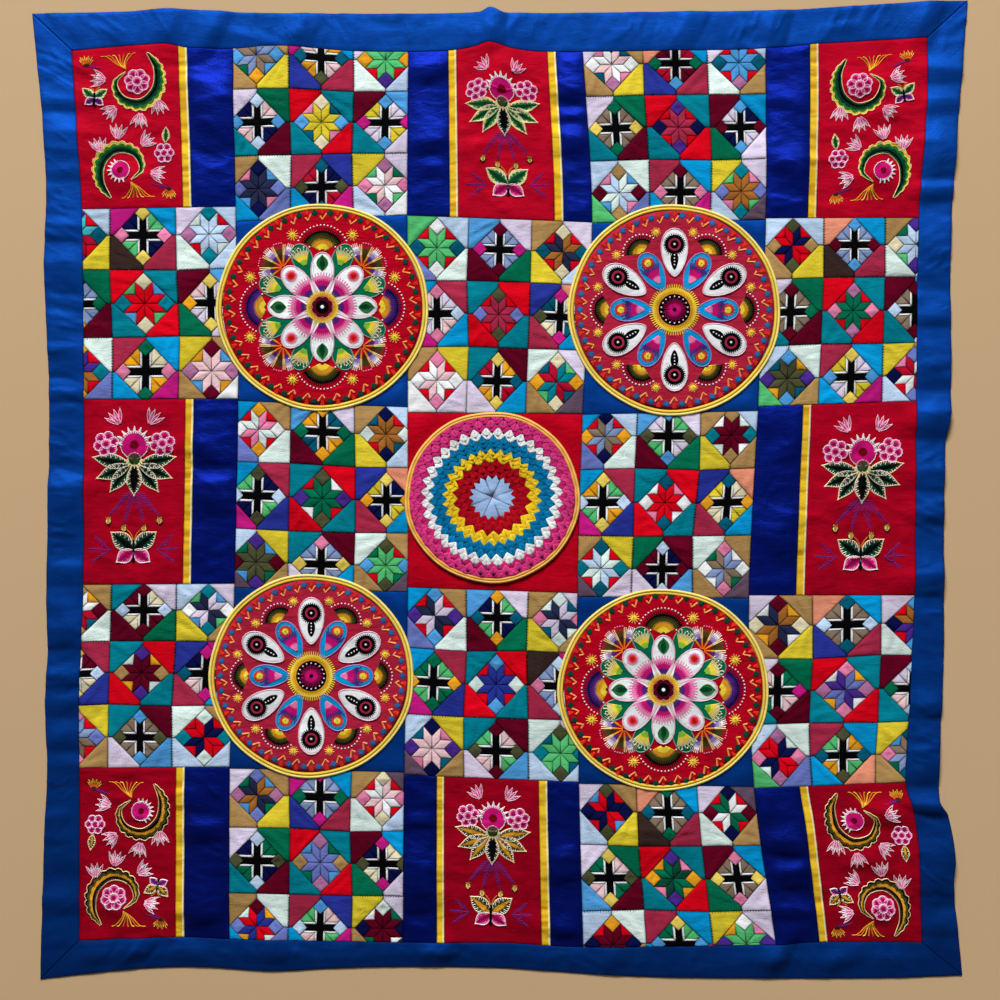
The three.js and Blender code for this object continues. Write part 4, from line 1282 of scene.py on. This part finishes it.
def round_shape(radius):
    """The outline of a round patch."""
    return [radius * spin(18 * k) for k in range(20)]


def set_shape(shape, place, turn=0, size=1):
    """An outline set down at a place, turned in degrees and scaled."""
    return [place + p * size * spin(turn) for p in shape]


def dots_on(place, radius, heading, spread, count, size, thread, lift):
    """A row of small knots on an arc."""
    made = []
    for i in range(count):
        spot = place + radius * spin(heading + spread * (i / (count - 1) - 0.5))
        made.append((spot - size / 2, spot + size / 2, size, thread, lift))
    return made


def shell(place, heading, radius, edge_threads):
    """A fan of stitches, gold at its root and dark at the edge, and the knots beyond it."""
    stitches = fan(0, 128, radius * 0.1, radius, round(radius * 1.05), ("yellow", "gold", *edge_threads), 2.0)
    knots = dots_on(place, radius * 1.12, heading, 132, round(radius * 0.42), 3.2, "white", 0.3)
    return moved(stitches, place, heading), knots


def ray_fan(place, heading, radius):
    """Long gold and orange rays with dark wedges between them, feathered in white."""
    stitches = []
    for i in range(5):
        threads, reach = (("brown", "olive"), 0.8) if i % 2 else (("violet", "lilac", "white"), 0.92)
        stitches += fan(32 * (i - 2), 18, radius * 0.3, radius * reach, 9, threads, 1.7)
    ray = fan(0, 0, radius * 0.06, radius, 1, ("orange", "gold", "cream", "cream"), 1.9)
    for i in range(6):
        for side in (-2.4, 2.4):
            stitches += moved(ray, 0j, 32 * (i - 2.5) + side, 0.4)
    knots = []
    for i in (1, 3):
        knots += dots_on(place, radius * 0.92, heading + 32 * (i - 2), 18, 4, 3.0, "pink", 0.3)
    return moved(stitches, place, heading), knots


def sun(place, radius):
    """A small round of yellow stitches."""
    return moved(fan(0, 330, radius * 0.1, radius, 12, ("yellow", "peach"), 2.2), place, 0, 0.2)


def set_on(shapes, stitches, shape, cloth, base, rim):
    """A cut-out shape set on a medallion, its edge couched down with an outline."""
    shapes.append((shape, cloth, base))
    stitches += outline(shape + shape[:1], 2.0, rim, base + COUCHED_RISE)


def rim_work(shapes, stitches, cloth):
    """The toothed rim of a medallion: a ring of set-on squares, a tick inside each gap and a red tooth
    outside it."""
    for k in range(RIM_REPEATS):
        turn = 360 * k / RIM_REPEATS
        gap = spin(turn + 180 / RIM_REPEATS)
        square = [RIM_SQUARE * spin(90 * i + 12) for i in range(4)]
        shapes.append((set_shape(square, RIM_RADIUS * spin(turn), turn), cloth, 0.0))
        vertex = gap * TICK_ROOT
        for off, reach in ((5.2, 170), (-8.6, 175), (4, 170.6), (-7.4, 175.8)):
            stitches.append((vertex, gap * complex(reach, off), 2.4, "peach", 0.1))
        for off in (-3.4, -1.7, 0, 1.7, 3.4):
            root, tip = gap * complex(TOOTH_ROOT, off), gap * complex(TOOTH_TIP, 0.25 * off)
            stitches.append((root, tip, 2.0, "vermilion", 0))


def rosette_medallion():
    """Eight-fold: a rosette of white and green petals, with shells on the axes and rays between."""
    shapes, stitches, knots = [], [], []
    rim_work(shapes, stitches, "dark_green")
    for k in range(8):
        turn = 45 * k + 22.5
        leaf_shape = set_shape(petal(68, 44), 58 * spin(turn), turn)
        set_on(shapes, stitches, leaf_shape, "green", 0.0, "grey_green")
        blade = fan(0, 60, 5, 36, 13, ("light_green", "yellow", "cream"), 1.8)
        stitches += moved(blade, 80 * spin(turn), turn, 1.3)
        knots += dots_on(74 * spin(turn), 44, turn, 56, 5, 3.2, "white", 1.2)
        stitches += sun(146 * spin(turn), 11)
    for k in range(8):
        turn = 45 * k
        petal_shape = set_shape(petal(84, 50), 18 * spin(turn), turn)
        set_on(shapes, stitches, petal_shape, "white", 0.7, "pale_pink")
        heart = fan(0, 64, 6, 40, 17, ("violet", "magenta", "pink"), 1.9)
        stitches += moved(heart, 24 * spin(turn), turn, 2.0)
        if k % 2:
            blush = fan(0, 345, 0, 11, 30, ("red", "vermilion", "pink"), 1.8)
            stitches += moved(blush, 82 * spin(turn), 0, 2.0)
        else:
            sprig = leaf(28, 20, ("dark_green", "green"), "green")
            stitches += moved(sprig, 68 * spin(turn), turn, 2.0)
    stitches += moved(fan(0, 357, 20, 33, 90, ("gold", "yellow"), 1.8), 0j, 0, 2.0)
    for radius, cloth, base in ((22, "burgundy", 1.4), (13, "black", 2.0), (4, "white", 2.6)):
        shapes.append((round_shape(radius), cloth, base))
    for k in range(4):
        shell_threads = ("olive", "black") if k % 2 else ("violet", "navy")
        for stitched, dotted in (shell(104 * spin(90 * k), 90 * k, 44, shell_threads),
                                 ray_fan(104 * spin(90 * k + 45), 90 * k + 45, 50)):
            stitches += stitched
            knots += dotted
    return shapes, stitches, knots


def swirl_medallion():
    """Six-fold: blue petals about a dark heart, white drops with dark eyes between, and small shells."""
    shapes, stitches, knots = [], [], []
    rim_work(shapes, stitches, "steel")
    for k in range(6):
        turn = 60 * k
        petal_shape = set_shape(petal(78, 50), 42 * spin(turn), turn)
        set_on(shapes, stitches, petal_shape, "cyan", 0.0, "lilac")
        heart = fan(0, 52, 3, 46, 15, ("pink", "magenta", "violet"), 1.9)
        stitches += moved(heart, 54 * spin(turn), turn, 1.3)
        stitches += moved(fan(0, 345, 1, 12, 26, ("yellow", "vermilion"), 1.8), 100 * spin(turn), turn, 1.4)
        stitched, dotted = shell(121 * spin(turn), turn, 32, ("olive", "black"))
        stitches += stitched
        knots += dotted
        for side in (1, -1):
            stitches += sun(149 * spin(turn + side * 16.5), 9)
    for k in range(6):
        turn = 60 * k + 30
        drop_shape = set_shape(petal(90, 58), 62 * spin(turn), turn)
        set_on(shapes, stitches, drop_shape, "white", 0.6, "pale_pink")
        shapes.append((set_shape(petal(34, 19), 74 * spin(turn), turn), "black", 1.1))
        for reach in (84, 90, 96, 102):
            knots += dots_on(0j, reach, turn, 0, 2, 3.0, "white", 2.3)[:1]
        eye = 122 * spin(turn)
        stitches += moved(fan(0, 357, 12, 20, 60, ("black",), 1.7), eye, 0, 1.9)
        for radius, cloth, base in ((14, "rose", 1.2), (8.5, "black", 1.8), (2.6, "white", 2.4)):
            shapes.append((set_shape(round_shape(radius), eye), cloth, base))
    stitches += moved(fan(0, 357, 27, 47, 130, ("gold", "yellow"), 1.9), 0j, 0, 0.3)
    shapes.append((round_shape(30), "black", 0.7))
    stitches += moved(fan(0, 345, 4, 22, 36, ("magenta", "rose"), 1.6), 0j, 0, 1.9)
    knots += dots_on(0j, 25, 0, 340, 18, 3.0, "white", 1.9)
    return shapes, stitches, knots


def put_round_down(disc, on_it, ring, node, ring_node):
    """Registers a round piece, what is sewn on it and its binding."""
    register(disc, node)
    for piece in on_it:
        register(piece, node)
    register(ring, ring_node)


ring_cotton = woven("ring cotton", rough=0.65, lustre=0.1, thread=0.6, crumple=0.15, tone_shift=0.14)
medallion_red = woven("medallion red cotton", rough=0.6, lustre=0.1, thread=0.6, crumple=0.7, tone_shift=0.22)
knot_points = [(r * math.cos(a), r * math.sin(a), z) for r, z in ((0.5, 0), (0.42, 0.3))
               for a in (math.pi * k / 4 for k in range(8))] + [(0, 0, 0.45)]
knot_faces = [(i, (i + 1) % 8, 8 + (i + 1) % 8, 8 + i) for i in range(8)]
knot_faces += [(8 + i, 8 + (i + 1) % 8, 16) for i in range(8)] + [tuple(reversed(range(8)))]
knot_stitch = solid_shape("knot", knot_points, knot_faces)
for block in ("r2c2", "r2c4", "r4c2", "r4c4"):
    centre_x, centre_y, wide, _ = ROUNDS[block]
    centre, size = complex(centre_x, centre_y), (wide - RING_WIDTH) / DRAWN_RADIUS
    surface = disc_height(block)
    rosette = block in ("r2c2", "r4c4")
    shapes, stitches, knots = rosette_medallion() if rosette else swirl_medallion()
    radius, ground = wide - RING_WIDTH - EDGE_GAP, "#B60520" if rosette else "#B0223C"
    disc = disc_piece("cloth_medallion_" + block, block, radius, surface, medallion_red, ground)
    flat_shapes = [(set_shape(shape, centre, 0, size), cloth, base) for shape, cloth, base in shapes]
    cut = patch_piece("shapes_medallion_" + block, flat_shapes, surface, patch_cotton, 31, 1.0, 0.1)
    threads = sew("threads_medallion_" + block, moved(stitches, centre, 0, 0, size), surface, bar_stitch)
    dots = sew("knots_medallion_" + block, moved(knots, centre, 0, 0, size), surface, knot_stitch)
    ring = binding("ring_medallion_" + block, block, RING_PROFILE, ring_cotton, random.Random(5))
    put_round_down(disc, [cut, threads, dots], ring, "medallion_" + block,
                   "medallion_ring_" + block)

# Folded star: rounds of cotton squares folded into points, sewn to a disc from the middle outwards.
# Each round lies on the one inside it like scales, and an orange binding covers the raw edge.
STAR_RING_WIDTH = 11
STAR_CLOTH = 0.5
FIRST_ROUND = 0.6
ROUND_STEP = 0.28
ROUND_TURN = 0.35
RING_LAP = 2
STAR_RED = "#C80420"
# Each round: dye, number of points, radius of the tips, depth of a point, half width by depth.
STAR_ROUNDS = [
    ("#A8C8F4", 4, 0.6, 52, 1.03),
    ("#B40E1E", 18, 36, 24, 1.0), ("#BA1020", 20, 46, 24, 1.0), ("#B00E1E", 20, 56, 24, 1.0),
    ("#FFD62C", 20, 65, 22, 1.15), ("#FED026", 24, 72, 20, 1.15), ("#FFDA30", 26, 79, 20, 1.1),
    ("#0C80B8", 30, 85, 20, 1.0), ("#0A76AC", 32, 94, 20, 1.0), ("#0E84BC", 34, 103, 20, 1.0),
    ("#FAFCFC", 34, 110, 18, 1.0), ("#FCFEFE", 36, 118, 18, 1.0),
    ("#D82E78", 36, 125, 18, 1.0), ("#EE4290", 38, 133, 18, 1.0), ("#E23882", 38, 141, 16, 1.0),
    ("#E83C88", 40, 147, 12, 1.1),
]


def folded_point():
    """A square folded to a point: its tip at the origin, two crowned halves and a slit along +X. Gives
    places, faces and the painted shade of each place: dark along the slit and the edges, darker outwards
    where the next round lies over it."""
    downs = ((0.0, 0.3, 0.3), (0.08, 0.66, 0.97), (0.45, 0.74, 1.0), (0.88, 0.66, 0.97), (1.0, 0.36, 0.5))
    outs = (0.3, 0.65, 1.0)
    points, faces, shades = [(0, 0, 0.65)], [], [0.8]
    for side in (1, -1):
        first = len(points)
        for out in outs:
            for down, rise, shade in downs:
                points.append((out, side * out * down, rise * (1.05 - 0.95 * out)))
                shades.append(shade * (1 - 0.25 * out))
        wide = len(downs)
        half_faces = []
        for k in range(wide - 1):
            half_faces.append((0, first + k, first + k + 1))
            for row in range(len(outs) - 1):
                a = first + row * wide + k
                half_faces.append((a, a + wide, a + wide + 1, a + 1))
        low = len(points)
        points += [(0, 0, 0)] + [(out, side * out, 0) for out in outs] + [(outs[-1], 0, 0)]
        shades += [0.4] * (len(outs) + 2)
        edge = [0] + [first + row * wide + wide - 1 for row in range(len(outs))]
        for k in range(len(outs)):
            half_faces.append((edge[k], edge[k + 1], low + k + 1, low + k))
        last = first + (len(outs) - 1) * wide
        half_faces.append((*range(last + wide - 1, last - 1, -1), low + len(outs) + 1, low + len(outs)))
        half_faces.append(tuple(low + k for k in range(len(outs) + 2)))
        faces += half_faces if side == 1 else [face[::-1] for face in half_faces]
    return points, faces, shades


def round_tree():
    """Sets points round a circle, all of them facing its middle."""
    inputs = (("Point", "Object"), ("Count", "Int"), ("Radius", "Float"), ("Size", "Vector"),
              ("Turn", "Float"), ("Cloth", "Material"))
    tree, given, keys = new_tree("round of points", inputs, "Round")
    circle = add_node(tree, "GeometryNodeMeshCircle", {"Vertices": given["Count"], "Radius": given["Radius"]})
    pattern = add_node(tree, "GeometryNodeObjectInfo", {"Object": given["Point"]})
    spot = add_node(tree, "GeometryNodeInputPosition").outputs["Position"]
    apart = add_node(tree, "ShaderNodeSeparateXYZ", {"Vector": spot})
    bearing = add_node(tree, "ShaderNodeMath", operation="ARCTAN2", inputs={
        0: apart.outputs["Y"], 1: apart.outputs["X"]})
    facing = add_node(tree, "ShaderNodeCombineXYZ", {"Z": bearing.outputs["Value"]})
    placed = add_node(tree, "GeometryNodeInstanceOnPoints", {
        "Points": circle.outputs["Mesh"], "Instance": pattern.outputs["Geometry"],
        "Rotation": facing.outputs["Vector"], "Scale": given["Size"]})
    swing = add_node(tree, "ShaderNodeCombineXYZ", {"Z": given["Turn"]})
    turned = add_node(tree, "GeometryNodeTransform", {
        "Geometry": placed.outputs["Instances"], "Rotation": swing.outputs["Vector"]})
    end_tree(tree, turned.outputs["Geometry"], given["Cloth"])
    return tree, keys


def star_height(x, y):
    """The height of the disc under the folded points."""
    return np.full_like(x, DISC_FLOOR + STAR_CLOTH)


centre_x, centre_y, wide, high = ROUNDS["r3c3"]
fold_points, fold_faces, fold_shades = folded_point()
point_shape = solid_shape("folded point", fold_points, fold_faces)
star_tree, star_keys = round_tree()
star_points, star_faces, star_colours = [], [], []
for order, (colour, count, radius, depth, half) in enumerate(STAR_ROUNDS):
    grown = add_object("round", bpy.data.meshes.new("round"))
    bake(grown, star_tree, star_keys, {
        "Point": point_shape, "Count": count, "Radius": float(radius),
        "Size": (float(depth), depth * half, 1.0), "Turn": math.pi / count * (order % 2) + ROUND_TURN,
        "Cloth": patch_cotton})
    first = len(star_points)
    draw = random.Random(order)
    tones = [draw.uniform(0.88, 1.1) for _ in range(count)]
    for i, vertex in enumerate(grown.data.vertices):
        x, y, z = vertex.co
        limit = min(1.0, (wide - STAR_RING_WIDTH + RING_LAP) / max(math.hypot(x, y), 1e-6))
        star_points.append((centre_x + x * limit, centre_y + y * limit * high / wide,
                            DISC_FLOOR + FIRST_ROUND + order * ROUND_STEP + z))
        # Painted shade of the folded point, times a random tone for each point.
        shade = tones[i // len(fold_points)] * fold_shades[i % len(fold_points)]
        star_colours.append(tuple(c * shade for c in linear(colour)[:3]) + (1.0,))
    star_faces += [tuple(first + v for v in polygon.vertices) for polygon in grown.data.polygons]
    bpy.data.objects.remove(grown)
radius = wide - STAR_RING_WIDTH - EDGE_GAP
disc = disc_piece("cloth_folded_star", "r3c3", radius, star_height, ground_red, STAR_RED)
points_piece = make_piece("points_folded_star", star_points, star_faces, patch_cotton, star_colours)
orange_cotton = woven("orange cotton", rough=0.65, lustre=0.1, thread=0.6, crumple=0.15, tone_shift=0.12)
# The orange binding in section: inward from the edge, rise and colour, with painted highlight on the crowns
# and painted shade in the groove and at the edges.
star_profile = [
    (0, 0, "#8A5A18"), (0.2, 2.6, "#D0923A"), (1.4, 4.7, "#F8BC60"), (3.0, 5.5, "#FFCC78"),
    (4.6, 5.1, "#F4B456"), (5.4, 4.3, "#B87C2C"), (6.4, 5.1, "#ECA84A"), (8.0, 5.6, "#F8BA5C"),
    (9.8, 5.2, "#E8A446"), (10.8, 4.5, "#8A5A18"), (11.0, 0, "#6A4410"),
]
ring = binding("ring_folded_star", "r3c3", star_profile, orange_cotton, random.Random(9))
put_round_down(disc, [points_piece], ring, "folded_star", "folded_star_ring")
for pattern in (bar_stitch, knot_stitch, point_shape):
    bpy.data.objects.remove(pattern)

# Floor, light and camera: a plain pale floor, a broad window light from the head end with a soft
# fill, and a camera straight overhead as in the photograph.
FLOOR_REACH = 40
FLOOR_LEVEL = -0.0004
FLOOR_TONE = (0.55, 0.37, 0.20, 1)
FAR_FLOOR = (0.5, 0.345, 0.2, 1)
DIM_ROOM = (0.076, 0.078, 0.08, 1)
SENSOR_WIDTH = 36
CAMERA_HEIGHT = 3.2
CAMERA_SHIFT = -0.019
VIEW_WIDTH = 1.9
floor_mesh = bpy.data.meshes.new("floor")
floor_corners = [(x * FLOOR_REACH, y * FLOOR_REACH, FLOOR_LEVEL)
                 for x, y in ((-1, -1), (1, -1), (1, 1), (-1, 1))]
floor_mesh.from_pydata(floor_corners, [], [(0, 1, 2, 3)])
floor_paint = bpy.data.materials.new("pale floor")
floor_paint.use_nodes = True
floor_tree = floor_paint.node_tree
place_on_floor = add_node(floor_tree, "ShaderNodeTexCoord").outputs["Object"]


def by_distance(centre, near, far, low, high):
    """A value that goes smoothly from low to high with the distance from a point of the floor."""
    away = add_node(floor_tree, "ShaderNodeVectorMath", {0: place_on_floor, 1: centre}, operation="DISTANCE")
    change = add_node(floor_tree, "ShaderNodeMapRange", interpolation_type="SMOOTHSTEP", inputs={
        "Value": away.outputs["Value"], "From Min": near, "From Max": far, "To Min": low, "To Max": high})
    return change.outputs["Result"]


# Far from the window the floor glows a little, so that it stays pale up to the horizon, and under the
# window it is darker, so that it does not glare.
glow = by_distance((-2.2, 5, 0), 5.5, 15, 0, 0.95)
share = by_distance((-2.2, 10, 0), 2.6, 9.4, 0.2, 1)
shade = add_node(floor_tree, "ShaderNodeMix", data_type="RGBA", inputs={
    "Factor": share, "A": (0, 0, 0, 1), "B": FLOOR_TONE})
feed(floor_tree, floor_tree.nodes["Principled BSDF"], {
    "Base Color": shade.outputs["Result"], "Roughness": 0.8, "Emission Color": FAR_FLOOR,
    "Emission Strength": glow})
floor_mesh.materials.append(floor_paint)
floor = add_object("floor", floor_mesh)
lamps = []
for name, place, size, power in (("window", (-2.2, 13.1, 8.0), 5.0, 3830), ("fill", (0.8, -2, 4), 3.0, 8)):
    lamp = bpy.data.lights.new(name, "AREA")
    lamp.shape = "SQUARE"
    lamp.size = size
    lamp.energy = power
    holder = add_object(name, lamp)
    holder.location = place
    aim = -holder.location
    holder.rotation_euler = aim.to_track_quat("-Z", "Y").to_euler()
    lamps.append(holder)
# The room is of the floor's tone at eye level and dim above it.
world = bpy.data.worlds.new("room")
world.use_nodes = True
room_tree = world.node_tree
ahead = add_node(room_tree, "ShaderNodeTexCoord").outputs["Generated"]
height = add_node(room_tree, "ShaderNodeSeparateXYZ", {"Vector": ahead})
dimming = add_node(room_tree, "ShaderNodeMapRange", {
    "Value": height.outputs["Z"], "From Min": 0.03, "From Max": 0.14})
tone = add_node(room_tree, "ShaderNodeMix", data_type="RGBA", inputs={
    "Factor": dimming.outputs["Result"], "A": FAR_FLOOR, "B": DIM_ROOM})
feed(room_tree, room_tree.nodes["Background"], {"Color": tone.outputs["Result"]})
bpy.context.scene.world = world
camera_data = bpy.data.cameras.new("camera")
camera_data.sensor_width = SENSOR_WIDTH
camera_data.lens = SENSOR_WIDTH * CAMERA_HEIGHT / VIEW_WIDTH
camera = add_object("camera", camera_data)
camera.location = (0, CAMERA_SHIFT, CAMERA_HEIGHT)
bpy.context.scene.camera = camera
bpy.context.scene.view_settings.view_transform = "Standard"
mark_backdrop(floor, camera, *lamps)

low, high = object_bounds()
